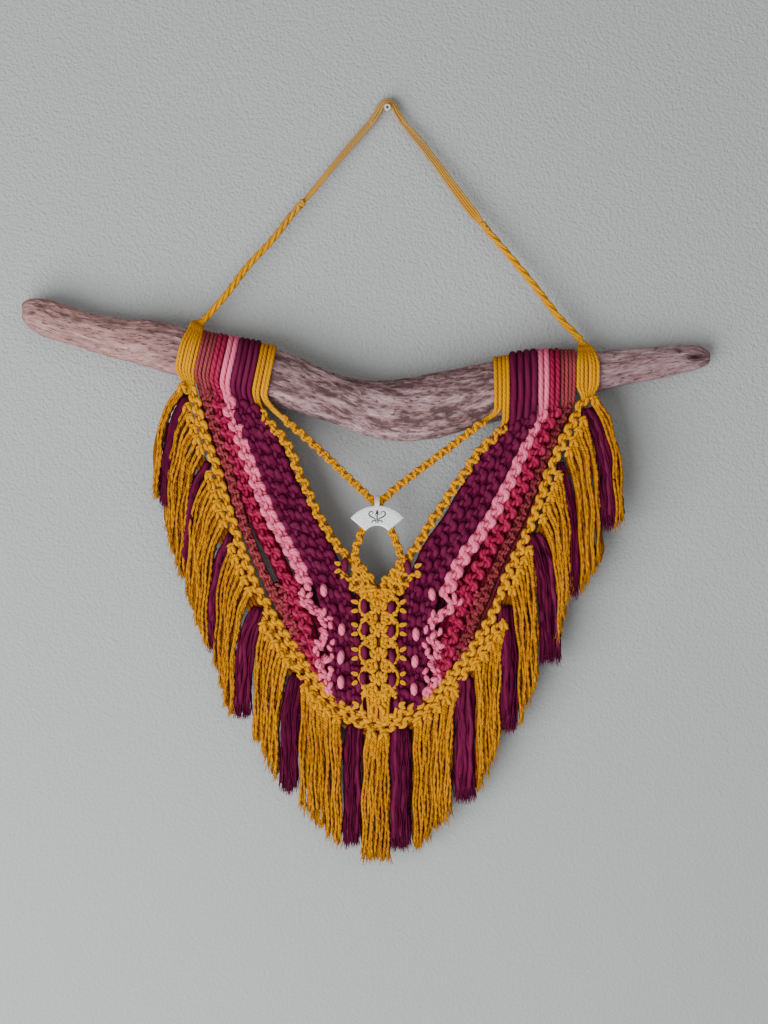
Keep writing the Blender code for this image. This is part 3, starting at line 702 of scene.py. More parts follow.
class Materials:
    """Builds and keeps every material, and the node group that the cottons share."""

    def __init__(self) -> None:
        """Makes them all."""
        self.ply = self._ply_group()
        self.made: dict[str, bpy.types.Material] = {}
        for tint, finish in COTTONS.items():
            self.made[tint.value] = self._cotton(tint.value, finish)
        self.made["driftwood"] = self._driftwood(WoodFinish())
        for name, finish in METALS.items():
            self.made[name] = self._metal(name, finish)
        self.made["wall"] = self._wall(StudioFinish())
        self.made["floor"] = self._floor(StudioFinish())

    @staticmethod
    def _start(name: str) -> tuple[bpy.types.Material, Graph, bpy.types.Node]:
        """Makes an empty material.

        Args:
            name: The material's name.

        Returns:
            The material, its graph and its main shader.
        """
        made = bpy.data.materials.new(name)
        made.use_nodes = True
        made.node_tree.nodes.clear()
        graph = Graph(made.node_tree)
        shader = graph.node("BsdfPrincipled")
        graph.node("OutputMaterial", {"Surface": shader.outputs[0]})
        return made, graph, shader

    @staticmethod
    def _ply_group() -> bpy.types.NodeTree:
        """Makes the group that draws plies and fibres wound round a cord, read from its UVs.

        Returns:
            The group, with an input Plies and the outputs Crown and Fibre.
        """
        tree = bpy.data.node_groups.new("cord_ply", "ShaderNodeTree")
        for name, way in (("Plies", "INPUT"), ("Crown", "OUTPUT"), ("Fibre", "OUTPUT")):
            tree.interface.new_socket(name, in_out=way, socket_type="NodeSocketFloat")
        graph = Graph(tree)
        inner = tree.nodes.new("NodeGroupInput")
        outer = tree.nodes.new("NodeGroupOutput")
        uv = graph.node("SeparateXYZ", {0: graph.node("UVMap", uv_map="twist").outputs[0]})
        wound = graph.math("ADD", uv.outputs[0], uv.outputs[1])
        phase = graph.math("MULTIPLY", graph.math("MULTIPLY", wound, inner.outputs[0]), math.pi)
        crown = graph.math("ABSOLUTE", graph.math("COSINE", phase))
        turn = graph.math("MULTIPLY", wound, math.tau)
        rise = graph.math("MULTIPLY", uv.outputs[1], 1.4)
        ring = (graph.math("COSINE", turn), graph.math("SINE", turn), rise)
        fibre = graph.noise(graph.node("CombineXYZ", dict(enumerate(ring))).outputs[0], 5.5, 3.0)
        graph.feed(outer, {0: crown, 1: fibre})
        return tree

    def _cotton(self, name: str, finish: CottonFinish) -> bpy.types.Material:
        """Makes twisted cotton with ply creases, fibres and slow changes of tone.

        Args:
            name: The material's name.
            finish: Its colours and plies.

        Returns:
            The material.
        """
        made, graph, shader = self._start(name)
        ply = graph.node("Group", node_tree=self.ply)
        ply.inputs["Plies"].default_value = finish.plies
        crown, fibre = ply.outputs["Crown"], ply.outputs["Fibre"]
        place = graph.node("TexCoord").outputs["Object"]
        slow = graph.noise(place, 60.0)
        tone = graph.node("Attribute", attribute_name="tone").outputs["Fac"]
        # Painted shade in the ply creases and painted light on their crowns.
        level = graph.math("MULTIPLY_ADD", crown, finish.ply_depth, 0.5 - finish.ply_depth * 0.62)
        level = graph.math("ADD", level, graph.math("MULTIPLY_ADD", fibre, 0.5, -0.25))
        level = graph.math("ADD", level, graph.math("MULTIPLY_ADD", slow, 0.3, -0.15))
        # The tone attribute holds each cord's random tone together with the painted shade baked into it.
        level = graph.math("MULTIPLY_ADD", tone, 0.45, level)
        colour = graph.ramp(level, ((0.0, finish.shade), (0.5, finish.body), (1.0, finish.light)))
        faded = graph.span(graph.axis(place, "Z"), *FADE_HEIGHTS, 0.0, FADE_SHARE)
        height = graph.math("MULTIPLY_ADD", crown, 0.5, graph.math("MULTIPLY", fibre, 0.8))
        inputs = {
            "Base Color": graph.mix(faded, colour, FADE_COLOUR),
            "Normal": graph.bump(height, 0.7, 0.6 * MM),
            "Roughness": 0.9,
            "Specular IOR Level": 0.08,
            "Sheen Weight": finish.sheen,
            "Sheen Roughness": 0.5,
        }
        graph.feed(shader, inputs)
        return made

    def _driftwood(self, finish: WoodFinish) -> bpy.types.Material:
        """Makes weathered wood with darker streaks along its own grain.

        Args:
            finish: Its colours.

        Returns:
            The material.
        """
        made, graph, shader = self._start("driftwood")
        grain = graph.node("Attribute", attribute_name="grain").outputs["Vector"]
        hollow = graph.node("Attribute", attribute_name="hollow").outputs["Fac"]
        streak = graph.noise(grain, 1.7, 3.0)
        patch = graph.noise(grain, 0.7, 2.0)
        fine = graph.noise(grain, 6.0, 3.0)
        spots = graph.noise(grain, 4.2, 2.0)
        level = graph.math("MULTIPLY_ADD", streak, 0.65, graph.math("MULTIPLY", patch, 0.4))
        level = graph.math("MULTIPLY_ADD", fine, 0.5, graph.math("SUBTRACT", level, 0.775))
        end = graph.axis(grain, "X")
        along = graph.math("ABSOLUTE", end)
        contrast = graph.span(along, *finish.ends, *finish.contrast)
        lift = graph.span(along, *finish.ends, *finish.lift)
        colour = graph.ramp(graph.math("MULTIPLY_ADD", level, contrast, lift), finish.stops)
        warm = graph.span(end, *finish.left_end, 1.0, 0.0)
        colour = graph.mix(warm, colour, finish.left_tint, "MULTIPLY")
        pits = graph.ramp(spots, ((0.33, (1.0, 1.0, 1.0)), (0.39, (0.0, 0.0, 0.0))))
        colour = graph.mix(graph.math("MULTIPLY", pits, 0.8), colour, finish.pit)
        height = graph.math("MULTIPLY_ADD", streak, 0.5, graph.math("MULTIPLY", fine, 0.9))
        height = graph.math("SUBTRACT", height, graph.math("MULTIPLY", pits, 0.5))
        inputs = {
            "Base Color": graph.mix(hollow, colour, finish.hollow),
            "Normal": graph.bump(height, 0.9, 1.4 * MM),
            "Roughness": 0.85,
            "Specular IOR Level": 0.25,
        }
        graph.feed(shader, inputs)
        return made

    def _metal(self, name: str, finish: MetalFinish) -> bpy.types.Material:
        """Makes a metal with a fine hammered surface.

        Args:
            name: The material's name.
            finish: Its colour and surface.

        Returns:
            The material.
        """
        made, graph, shader = self._start(name)
        grit = graph.noise(graph.node("TexCoord").outputs["Object"], finish.scale)
        low = tuple(value * 0.6 for value in finish.colour)
        inputs = {
            "Base Color": graph.ramp(grit, ((0.36, low), (0.5, finish.colour))),
            "Normal": graph.bump(grit, finish.dents, 0.3 * MM),
            "Roughness": finish.rough,
            "Metallic": 0.55,
        }
        graph.feed(shader, inputs)
        return made

    def _wall(self, finish: StudioFinish) -> bpy.types.Material:
        """Makes pale grey plaster that can't be seen from behind.

        Args:
            finish: Its colours and relief.

        Returns:
            The material.
        """
        made, graph, shader = self._start("wall")
        place = graph.node("TexCoord").outputs["Object"]
        peel = graph.noise(place, 380.0, 2.0)
        lumps = graph.noise(place, 700.0, 1.0)
        height = graph.math("MULTIPLY_ADD", lumps, 0.5, peel)
        rough = graph.span(graph.axis(place, "Z"), *finish.smooth, finish.relief, 1.0)
        height = graph.math("MULTIPLY", height, rough)
        back = graph.node("NewGeometry").outputs["Backfacing"]
        inputs = {
            "Base Color": graph.mix(graph.noise(place, 2.2), *finish.wall),
            "Normal": graph.bump(height, 1.0, 1.2 * MM),
            "Alpha": graph.math("SUBTRACT", 1.0, back),
            "Roughness": 0.8,
        }
        graph.feed(shader, inputs)
        return made

    def _floor(self, finish: StudioFinish) -> bpy.types.Material:
        """Makes the plain pale floor.

        Args:
            finish: Its colours.

        Returns:
            The material.
        """
        made, graph, shader = self._start("floor")
        place = graph.node("TexCoord").outputs["Object"]
        colour = graph.mix(graph.noise(place, 3.0), *finish.floor)
        graph.feed(shader, {"Base Color": colour, "Roughness": 0.8})
        return made


class Assembly:
    """Attaches each finished piece to the CAD's root body, gives it its slot's material and hides the nodes
    that it replaces.
    """

    def __init__(self) -> None:
        """Loads the CAD, measures it and gives it a plain finish."""
        self.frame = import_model()
        self.cad_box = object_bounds()
        self.materials = Materials()
        for obj in self.frame["nodes"].values():
            obj.data.materials.clear()
            obj.data.materials.append(self.materials.made["driftwood"])

    def node(self, name: str) -> Array:
        """Reads a CAD node's vertices.

        Args:
            name: The node.

        Returns:
            One XYZ row for each vertex, in metres.
        """
        mesh = self.frame["nodes"][name].data
        co = np.zeros(len(mesh.vertices) * 3)
        mesh.vertices.foreach_get("co", co)
        return co.reshape(-1, 3)

    def place(self, piece: bpy.types.Object, slot: str, *nodes: str) -> None:
        """Attaches a finished piece to the root body, gives it its slot's material if it has none and hides
        the CAD nodes that it replaces.

        Args:
            piece: The object.
            slot: The record's slot, which is also its material's name.
            *nodes: The CAD nodes that it replaces.
        """
        if not piece.data.materials:
            piece.data.materials.append(self.materials.made[slot])
        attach(piece, "root")
        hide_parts(*nodes)
        log.info("%s: %d faces", piece.name, len(piece.data.polygons))

    def cords(self, mesh: CordMesh, node: str) -> None:
        self.place(mesh.make(f"cords_{node}"), mesh.yarn.tint.value, node)


def select_alone(obj: bpy.types.Object) -> None:
    """Selects one object alone and makes it active.

    Args:
        obj: The object.
    """
    bpy.ops.object.select_all(action="DESELECT")
    bpy.context.view_layer.objects.active = obj
    obj.select_set(True)


# ---- branch and wraps


@dataclass(frozen=True)
class Dent:
    """A round dent in the front of the wood, in millimetres, and how dark it is."""

    x: float
    z: float
    wide: float
    high: float
    depth: float
    shade: float


DENTS = (
    Dent(-277, -161, 6.0, 3.6, 2.0, 0.45),
    Dent(-258, -169, 4.0, 2.4, 1.6, 0.45),
    Dent(-248, -172, 5.0, 3.0, 1.4, 0.45),
    Dent(-286, -166, 4.0, 2.4, 1.6, 0.45),
    Dent(249, -202, 7.0, 3.6, 3.0, 1.0),
    Dent(235, -197, 2.2, 2.2, 1.0, 0.8),
)
# Scale of each layer of the wood's relief and its depth in millimetres.
GRAIN_LAYERS = ((0.7, 1.6), (2.2, 1.0), (5.0, 0.45))


class Branch:
    """The driftwood's sections as measured from its CAD node, and the finer piece made from it."""

    def __init__(self, assembly: Assembly) -> None:
        """Measures the sections.

        Args:
            assembly: Where the CAD node is and where the piece goes.
        """
        self.assembly = assembly
        co = np.unique(assembly.node("driftwood_branch").round(6), axis=0)
        self.x = np.unique(co[:, 0].round(5))
        rings = [co[np.abs(co[:, 0] - x) < 2e-5] for x in self.x]
        kept = [(x, ring) for x, ring in zip(self.x, rings) if len(ring) >= 8]
        self.x = np.array([x for x, _ in kept])
        self.middle = np.array([(ring.max(0) + ring.min(0))[1:] / 2 for _, ring in kept])
        self.angle = np.linspace(-math.pi, math.pi, 73)
        self.reach = np.array([self._polar(ring, mid) for (_, ring), mid in zip(kept, self.middle)])

    def _polar(self, ring: Array, middle: Array) -> Array:
        """Measures how far one section reaches from its middle, at each of the set angles.

        Args:
            ring: The section's vertices.
            middle: Y and Z of its middle.

        Returns:
            Metres for each angle.
        """
        y, z = ring[:, 1] - middle[0], ring[:, 2] - middle[1]
        angle = np.arctan2(z, -y)
        order = np.argsort(angle)
        reach = np.interp(self.angle, angle[order], np.hypot(y, z)[order], period=math.tau)
        return np.convolve(np.r_[reach[-5:-1], reach, reach[1:5]], np.ones(5) / 5, "same")[4:-4]

    def section(self, x: float, angle: Array, out: float) -> Array:
        """Points round the branch at one place along it.

        Args:
            x: Metres.
            angle: 0 at the front, a quarter turn up at the top.
            out: Metres off the wood.

        Returns:
            One XYZ row for each angle.
        """
        columns = range(self.reach.shape[1])
        profile = np.array([np.interp(x, self.x, self.reach[:, i]) for i in columns])
        middle = [np.interp(x, self.x, self.middle[:, i]) for i in (0, 1)]
        reach = np.interp(angle, self.angle, profile, period=math.tau) + out
        y = np.minimum(middle[0] - reach * np.cos(angle), -1.5 * MM)
        return np.stack([np.full_like(y, x), y, middle[1] + reach * np.sin(angle)], axis=-1)

    def bottom(self, x: float) -> float:
        """Height of the wood's underside at x."""
        return float(self.section(x, np.array([-math.pi / 2]), 0.0)[0, 2])

    def build(self) -> None:
        """Makes the weathered branch from a merged copy of its CAD node."""
        node = self.assembly.frame["nodes"]["driftwood_branch"]
        piece = add("weathered_branch", node.data.copy())
        piece.data.materials.clear()
        select_alone(piece)
        bpy.ops.object.mode_set(mode="EDIT")
        bpy.ops.mesh.select_all(action="SELECT")
        bpy.ops.mesh.remove_doubles(threshold=0.01 * MM)
        bpy.ops.mesh.tris_convert_to_quads()
        bpy.ops.mesh.mark_sharp(clear=True)
        bpy.ops.object.mode_set(mode="OBJECT")
        smooth = piece.modifiers.new("smooth", "SUBSURF")
        smooth.levels = smooth.render_levels = 3
        bpy.ops.object.modifier_apply(modifier=smooth.name)
        self._weather(piece.data)
        piece.data.shade_smooth()
        self.assembly.place(piece, "driftwood", "driftwood_branch")

    def _weather(self, mesh: bpy.types.Mesh) -> None:
        """Carves grain and dents, and stores where the grain and the hollows are.

        Args:
            mesh: The branch's mesh.
        """
        count = len(mesh.vertices)
        co, normals = np.zeros(count * 3), np.zeros(count * 3)
        mesh.vertices.foreach_get("co", co)
        mesh.vertices.foreach_get("normal", normals)
        co, normals = co.reshape(-1, 3), normals.reshape(-1, 3)
        y = co[:, 1] - np.interp(co[:, 0], self.x, self.middle[:, 0])
        z = co[:, 2] - np.interp(co[:, 0], self.x, self.middle[:, 1])
        angle = np.arctan2(z, -y)
        swirl = angle + 0.35 * np.sin(co[:, 0] / 0.06)
        grain = np.stack([co[:, 0] / 0.030, 2.2 * np.cos(swirl), 2.2 * np.sin(swirl)], axis=-1)
        carve = np.zeros(count)
        for scale, depth in GRAIN_LAYERS:
            values = [noise.noise(Vector(row)) for row in grain * scale]
            carve += depth * MM * np.array(values)
        ridges = np.array([abs(noise.noise(Vector(row))) for row in grain * 3.1 + 7.0])
        carve -= 0.9 * MM * np.clip(0.16 - ridges, 0, 1) / 0.16
        hollow = np.zeros(count)
        front = normals[:, 1] < 0.2
        for dent in DENTS:
            share = self._dent(co, dent) * front
            carve -= dent.depth * MM * share
            hollow = np.maximum(hollow, dent.shade * share)
        co = co + normals * (carve + 0.4 * MM)[:, None]
        co[:, 1] = np.minimum(co[:, 1], -1.0 * MM)
        mesh.vertices.foreach_set("co", co.ravel())
        store = mesh.attributes.new("grain", "FLOAT_VECTOR", "POINT")
        store.data.foreach_set("vector", grain.astype(np.float32).ravel())
        store = mesh.attributes.new("hollow", "FLOAT", "POINT")
        store.data.foreach_set("value", hollow.astype(np.float32))
        mesh.update()

    @staticmethod
    def _dent(co: Array, dent: Dent) -> Array:
        """How deep in a dent each vertex lies, from 0 to 1."""
        across, up = (co[:, 0] - dent.x * MM) / dent.wide, (co[:, 2] - dent.z * MM) / dent.high
        return np.clip(1.25 - np.hypot(across, up) / MM, 0, 1) ** 0.7


@dataclass(frozen=True)
class Wrap:
    """Cords that go round the branch side by side. Sizes are millimetres."""

    name: str
    strands: int
    radius: float
    twist: float


WRAPS = (
    Wrap("edging", 6, 1.35, 11),
    Wrap("dusty_rose", 4, 1.5, 12),
    Wrap("raspberry", 2, 2.1, 15),
    Wrap("pink", 2, 2.1, 22),
    Wrap("plum_outer", 2, 2.2, 60),
    Wrap("plum_inner", 2, 2.2, 60),
    Wrap("v_edge", 2, 1.6, 12),
    Wrap("strap", 2, 1.6, 12),
)
# X of the wraps' edges in millimetres, from the outermost to the innermost.
WRAP_EDGES = {
    "left": (-166.7, -151.6, -139.6, -131.4, -122.6, -113.8, -105.0, -98.8, -92.6),
    "right": (170.2, 150.8, 138.1, 129.3, 119.8, 108.6, 97.6, 91.0, 84.4),
}
WRAP_LEAN = {"left": 4.0 * MM, "right": 0.0}
WRAP_PEAK = {"left": -149.0 * MM, "right": 157.0 * MM}
# A wrap's cords go round from behind, over the top and down the front, then down the bar's line.
WRAP_ANGLES = np.radians(np.concatenate([np.linspace(228, 10, 40), [-8, -26, -40]]))
WRAP_TAIL = np.array([4.0, 11.0]) * MM
WRAP_POINTS = 110
WRAP_SIDES = 12


def pinch(x: Array, angle: Array, side: str) -> Array:
    """How far the outer wrap's cords draw together on top of the branch, below the hanger.

    Args:
        x: Where the cords are, in metres.
        angle: 0 at the branch's front, a quarter turn up at its top.
        side: left or right.

    Returns:
        What to add to x.
    """
    return 0.4 * np.clip(np.sin(angle), 0, 1) ** 3 * (WRAP_PEAK[side] - x)


@dataclass
class Wrapping:
    """Lays each wrap's cords round the branch and down to the first knot of its bar."""

    branch: Branch

    def lay(self, mesh: CordMesh, side: str, name: str, bar: Route, reach: float) -> None:
        """Adds one wrap to a mesh.

        Args:
            mesh: Where the cords go.
            side: left or right.
            name: The wrap.
            bar: Middle line of the bar, from its top.
            reach: Half the width into which the cords gather, in metres.
        """
        place = [wrap.name for wrap in WRAPS].index(name)
        wrap = WRAPS[place]
        low, high = sorted(np.array(WRAP_EDGES[side][place : place + 2]) * MM)
        centre = bar.at(WRAP_TAIL)
        radius = max(wrap.radius * MM, 0.51 * (high - low) / wrap.strands)
        for part in (np.arange(wrap.strands) + 0.5) / wrap.strands:
            x = low + (high - low) * part
            jitter = mesh.rng.uniform(-0.25, 0.25) * MM
            path = self.branch.section(x, WRAP_ANGLES, 0.8 * radius + 0.3 * MM)
            path[:, 0] += WRAP_LEAN[side] * np.sin(WRAP_ANGLES) + jitter
            if name == "edging":
                path[:, 0] += pinch(path[:, 0], WRAP_ANGLES, side)
            gather = (2 * part - 1) * reach
            tail = centre + np.array([gather, 0.0, 0.0]) * np.array([[1.0], [0.8]])
            tail[:, 1] = np.maximum(tail[:, 1], path[-1, 1])
            points = Route(np.concatenate([path, tail])).even(WRAP_POINTS)
            tone = mesh.rng.uniform(-0.18, 0.18)
            mesh.run(points, radius, tone, sides=WRAP_SIDES, twist=wrap.twist * MM)


# ---- knotted bars


@dataclass(frozen=True)
class Lane:
    """One coloured bar of the fan. Sizes are metres.

    Its wrap's strands come together in half the width `gather`. It moves by `shift` towards the
    middle, from `shift_from` below its top on, and runs `extra` past its node's last slice.
    """

    name: str
    yarn: Yarn
    tie: Tie
    gather: float
    shift: float = 0.0
    shift_from: float = 0.0
    extra: float = 2.0 * MM


V_EDGE_TIE = Tie(10.4 * MM, 5.0 * MM, 3.2 * MM, 2, 0.1)
PLUM_TIE = Tie(11.6 * MM, 7.2 * MM, 2.2 * MM, 1, 0.12, 4, 5.0 * MM)
PINK_TIE = Tie(11.6 * MM, 6.6 * MM, 2.6 * MM, 1, 0.08, 3, 2.6 * MM)
RASPBERRY_TIE = Tie(10.8 * MM, 5.9 * MM, 2.4 * MM, 1, 0.15, 3, 2.4 * MM)
DUSTY_TIE = Tie(10.2 * MM, 5.0 * MM, 1.8 * MM, 2, 0.22, 3, 2.2 * MM)
LANES = (
    Lane("v_edge", MUSTARD, V_EDGE_TIE, 2.2 * MM, -2.8 * MM, 0.07),
    Lane("plum_inner", PLUM, PLUM_TIE, 4.4 * MM, 1.4 * MM, 0.01, 4 * MM),
    Lane("plum_outer", PLUM, PLUM_TIE, 4.4 * MM, 1.0 * MM, 0.01, 9 * MM),
    Lane("pink", PINK, PINK_TIE, 3.1 * MM, extra=7 * MM),
    Lane("raspberry", RASPBERRY, RASPBERRY_TIE, 3.4 * MM, extra=6 * MM),
    Lane("dusty_rose", DUSTY_ROSE, DUSTY_TIE, 5.2 * MM),
)
# Where a side's bar differs: share of its width at the top and at the end, and its painted shade.
GROW = {"left": {}, "right": {"pink": (0.74, 1.1), "raspberry": (1.2, 1.15), "dusty_rose": (0.9, 0.9)}}
SHADE = {"left": {"dusty_rose": -0.15}, "right": {"dusty_rose": -0.5, "raspberry": -0.1}}


@dataclass(frozen=True)
class Backing:
    """Dark cords behind a bar as painted shade in its gaps: how far out and how far along it they lie, in
    metres, and their tone.
    """

    reach: float
    until: float = 1.0
    tone: float = -1.3


BACKING = {
    "left": {
        "raspberry": Backing(5.0 * MM),
        "dusty_rose": Backing(8.5 * MM, 0.115, -0.9),
        "plum_outer": Backing(11.0 * MM),
    },
    "right": {
        "raspberry": Backing(9.0 * MM),
        "dusty_rose": Backing(8.5 * MM),
        "plum_outer": Backing(11.0 * MM),
    },
}
# Picture height at which the pink bars come loose.
LOOSE_FROM = {"left": 583, "right": 592}
# Loose pink loops: picture steps to the right and down, turn in degrees, length in picture steps.
LOOSE_PINK = (
    (308, 586, -70, 9), (303, 592, 80, 9), (309, 596, 30, 9), (324, 611, 80, 10), (331, 625, 110, 9),
    (326, 632, -50, 9), (317, 643, -20, 10), (333, 641, 50, 8), (330, 648, -60, 9), (328, 661, 35, 10),
    (332, 668, -60, 8), (331, 675, 70, 9), (322, 675, -10, 10), (329, 685, 60, 9),
)
# Short knotted links between them, as points in picture steps.
PINK_LINKS = (
    ((300, 596), (306, 603), (316, 610), (329, 622)),
    ((321, 627), (326, 634), (322, 641), (319, 650)),
    ((328, 656), (321, 664), (321, 674)),
    ((325, 679), (329, 688)),
)
LINK_TIE = Tie(9.6 * MM, 5.0 * MM, 2.6 * MM, 1, 0.2, 2, 1.0 * MM)
# Crowds of small loops in picture steps: how far down, and from where to where across.
RASPBERRY_MASS = (
    (575, 284, 300), (590, 282, 301), (600, 282, 301), (612, 284, 307), (624, 287, 315), (636, 292, 318),
    (648, 298, 320), (660, 306, 321), (672, 314, 323), (682, 320, 326),
)
DUSTY_MASS = (
    (582, 271, 282), (600, 276, 288), (615, 280, 293), (630, 285, 298), (645, 291, 302), (656, 297, 305),
)
# Upright passes that show on top of the knots, in picture steps.
PINK_DOTS = {
    "left": ((324, 590), (342, 629), (341, 657), (341, 682)),
    "right": ((432, 594), (416, 634), (415, 661), (414, 689)),
}
PLUM_OVALS = {
    "left": ((345, 565), (364, 606), (365, 628), (364, 652), (363, 678)),
    "right": ((408, 567), (391, 607), (391, 631), (392, 656), (392, 680)),
}
# Dark hanging cords in picture steps: where across, and from where to where down.
CURTAIN = (
    (330, 650, 696), (335, 640, 700), (340, 620, 704), (343, 600, 706), (348, 598, 708), (353, 596, 710),
    (358, 594, 712), (363, 592, 714), (368, 590, 716), (373, 588, 718),
)


@dataclass
class Fan:
    """The coloured bars between the branch and the edging bar."""

    assembly: Assembly
    wrapping: Wrapping

    def middle_line(self, node: str, top: float) -> Route:
        """Measures a bar's middle line from the level slices of its CAD node.

        Args:
            node: The bar's node.
            top: Height under which the slices are the bar's own.

        Returns:
            The line, from the top down.
        """
        co = self.assembly.node(node)
        rows = []
        for z in np.unique(co[:, 2].round(5))[::-1]:
            level = co[np.abs(co[:, 2] - z) < 2e-5]
            if z < top and len(np.unique(level.round(5), axis=0)) >= 6:
                low, high = level.min(0), level.max(0)
                rows.append(((low[0] + high[0]) / 2, (low[1] + high[1]) / 2, z))
        rows = np.array(rows)
        soft = rows.copy()
        soft[1:-1, :2] = (rows[:-2, :2] + 2 * rows[1:-1, :2] + rows[2:, :2]) / 4
        return Route(soft)

    def build(self, side: str, number: int) -> None:
        """Makes the six bars of one side.

        Args:
            side: left or right.
            number: Start of the seeds.
        """
        for i, lane in enumerate(LANES):
            node = f"{lane.name}_{side}"
            edges = WRAP_EDGES[side][len(LANES) - i : len(LANES) - i + 2]
            top = self.wrapping.branch.bottom(sum(edges) / 2 * MM) - 1.5 * MM
            line = self.middle_line(node, top)
            way = 1.0 if side == "left" else -1.0
            below = top - line.points[:, 2:3] - lane.shift_from
            points = line.points + np.clip(below / 0.04, 0, 1) * [way * lane.shift, 0, 0]
            points = np.concatenate([points, points[-1:] + lane.extra * unit(points[-1:] - points[-3:-2])])
            line = Route(points)
            mesh = CordMesh(lane.yarn, number + i)
            self.wrapping.lay(mesh, side, lane.name, line, lane.gather)
            grow = GROW[side].get(lane.name, (1.0, 1.0))
            end = line.length
            if lane.name == "pink":
                stop = spot(0, LOOSE_FROM[side])[2]
                end = float(np.interp(-stop, -line.points[:, 2], line.stops))
                self.loose(mesh, side)
                self.beads(mesh, PINK_DOTS[side], 3.1 * MM, 10.6 * MM)
            mesh.tie(line, lane.tie, 6 * MM, end, SHADE[side].get(lane.name, 0.0), grow)
            if lane.name in BACKING[side]:
                self.backing(mesh, line, BACKING[side][lane.name])
            if lane.name == "raspberry":
                self.mass(mesh, side, RASPBERRY_MASS, 90, 1.75 * MM)
            if lane.name == "dusty_rose":
                self.mass(mesh, side, DUSTY_MASS, 34, 1.6 * MM)
            if lane.name == "plum_inner":
                self.beads(mesh, PLUM_OVALS[side], 2.9 * MM, 11.0 * MM)
                self.curtain(mesh, side)
            self.assembly.cords(mesh, node)

    @staticmethod
    def backing(mesh: CordMesh, line: Route, backing: Backing) -> None:
        """Adds dark straight cords behind a bar as painted shade, out to a reach on both sides of its middle
        line.

        Args:
            mesh: Where they go.
            line: The bar's middle line.
            backing: Their reach and tone.
        """
        until = min(line.length, backing.until)
        centre, _, across, out = line.frame(np.linspace(8 * MM, until, 24))
        for way in np.linspace(-1, 1, 7):
            path = centre + way * across * backing.reach - out * 2.2 * MM
            mesh.run(path, 1.6 * MM, backing.tone + mesh.rng.uniform(-0.2, 0.2))

    @staticmethod
    def loose(mesh: CordMesh, side: str) -> None:
        """Adds the loose pink loops between the end of the pink bar and the edging bar.

        Args:
            mesh: Where they go.
            side: left or right.
        """
        rng = mesh.rng
        table = np.array(LOOSE_PINK, float)
        count = len(table)
        table[:, :2] += rng.uniform(-1.2, 1.2, (count, 2))
        turn = table[:, 2] if side == "left" else 180.0 - table[:, 2]
        centre = on_sheet(on_side(table[:, :2], side), -rng.uniform(1.6, 3.4, count) * MM)
        angle = np.radians(turn + rng.uniform(-15, 15, count))
        length = table[:, 3] * PHOTO_STEP * rng.uniform(0.85, 1.1, count)
        mesh.passes(centre, angle, length, 2.35 * MM, rng.uniform(-0.35, 0.1, count))
        for points in PINK_LINKS:
            route = Route(on_sheet(on_side(points, side), -1.0 * MM))
            mesh.tie(route, LINK_TIE, 0.0, route.length, -0.1)

    @staticmethod
    def mass(mesh: CordMesh, side: str, rows: tuple, count: int, radius: float) -> None:
        """Adds a crowd of small loops over dark cords of painted shade, where the knots lose their order.

        Args:
            mesh: Where they go.
            side: left or right.
            rows: How far down, and the crowd's ends across, in picture steps.
            count: How many loops.
            radius: Their radius.
        """
        rng = mesh.rng
        table = np.array(rows, float)
        start, end = table[0, 0], table[-1, 0]
        py = start + (end - start) * (np.arange(count) + rng.uniform(0, 1, count)) / count
        low, high = (np.interp(py, table[:, 0], table[:, i]) for i in (1, 2))
        px = low + (high - low) * rng.uniform(0, 1, count)
        places = on_side(np.stack([px, py], axis=-1), side)
        centre = on_sheet(places, -rng.uniform(-0.6, 1.6, count) * MM)
        length = rng.uniform(5.4, 8.6, count) * PHOTO_STEP
        mesh.passes(centre, rng.uniform(0, math.pi, count), length, radius, rng.uniform(-0.8, 0.1, count))
        # Dark cords under the loops: painted shade.
        for share in np.linspace(0, 1, 7):
            x = table[:, 1] + share * (table[:, 2] + 9 - table[:, 1])
            places = on_side(np.stack([x, table[:, 0]], axis=-1), side)
            mesh.run(Route(on_sheet(places, 2.6 * MM)).even(24), 2.0 * MM, -1.35)

    @staticmethod
    def curtain(mesh: CordMesh, side: str) -> None:
        """Adds dark hanging cords that close the ground beside and behind the middle column.

        Args:
            mesh: Where they go.
            side: left or right.
        """
        for px, top, low in CURTAIN:
            places = on_side([(px, py) for py in np.linspace(top, low, 4)], side, 0.0)
            mesh.run(Route(on_sheet(places, 2.4 * MM)).even(20), 2.5 * MM, -0.45)

    @staticmethod
    def beads(mesh: CordMesh, places: tuple, radius: float, length: float) -> None:
        """Adds upright passes of cord that show on top of the knots.

        Args:
            mesh: Where they go.
            places: Where each shows, in picture steps.
            radius: Their radius.
            length: Their length.
        """
        centre = on_sheet(places, -4.4 * MM)
        count = len(centre)
        angle = math.pi / 2 + mesh.rng.uniform(-0.15, 0.15, count)
        mesh.passes(centre, angle, length * mesh.rng.uniform(0.92, 1.08, count), radius, 0.15)


# X and Z of the edging bar's middle line, in millimetres.
EDGING = (
    (-158, -224), (-149, -257), (-139, -287), (-130, -318), (-118, -355), (-104, -390), (-83, -425),
    (-58, -462), (-45, -477), (-26, -489), (-1, -495), (21, -485), (36, -474), (61, -447), (81, -418),
    (101, -369), (112, -346), (134, -287), (148, -257), (161, -233),
)
# Its rows of knots: metres beside its middle line, where along it they start, and their tie.
EDGING_ROWS = (
    (-1.0 * MM, 7 * MM, Tie(9.8 * MM, 4.7 * MM, 2.4 * MM, 1, 0.16, 2, 1.2 * MM)),
    (6.2 * MM, 196 * MM, Tie(9.8 * MM, 4.0 * MM, 1.8 * MM, 1, 0.2, 2, 1.0 * MM)),
)
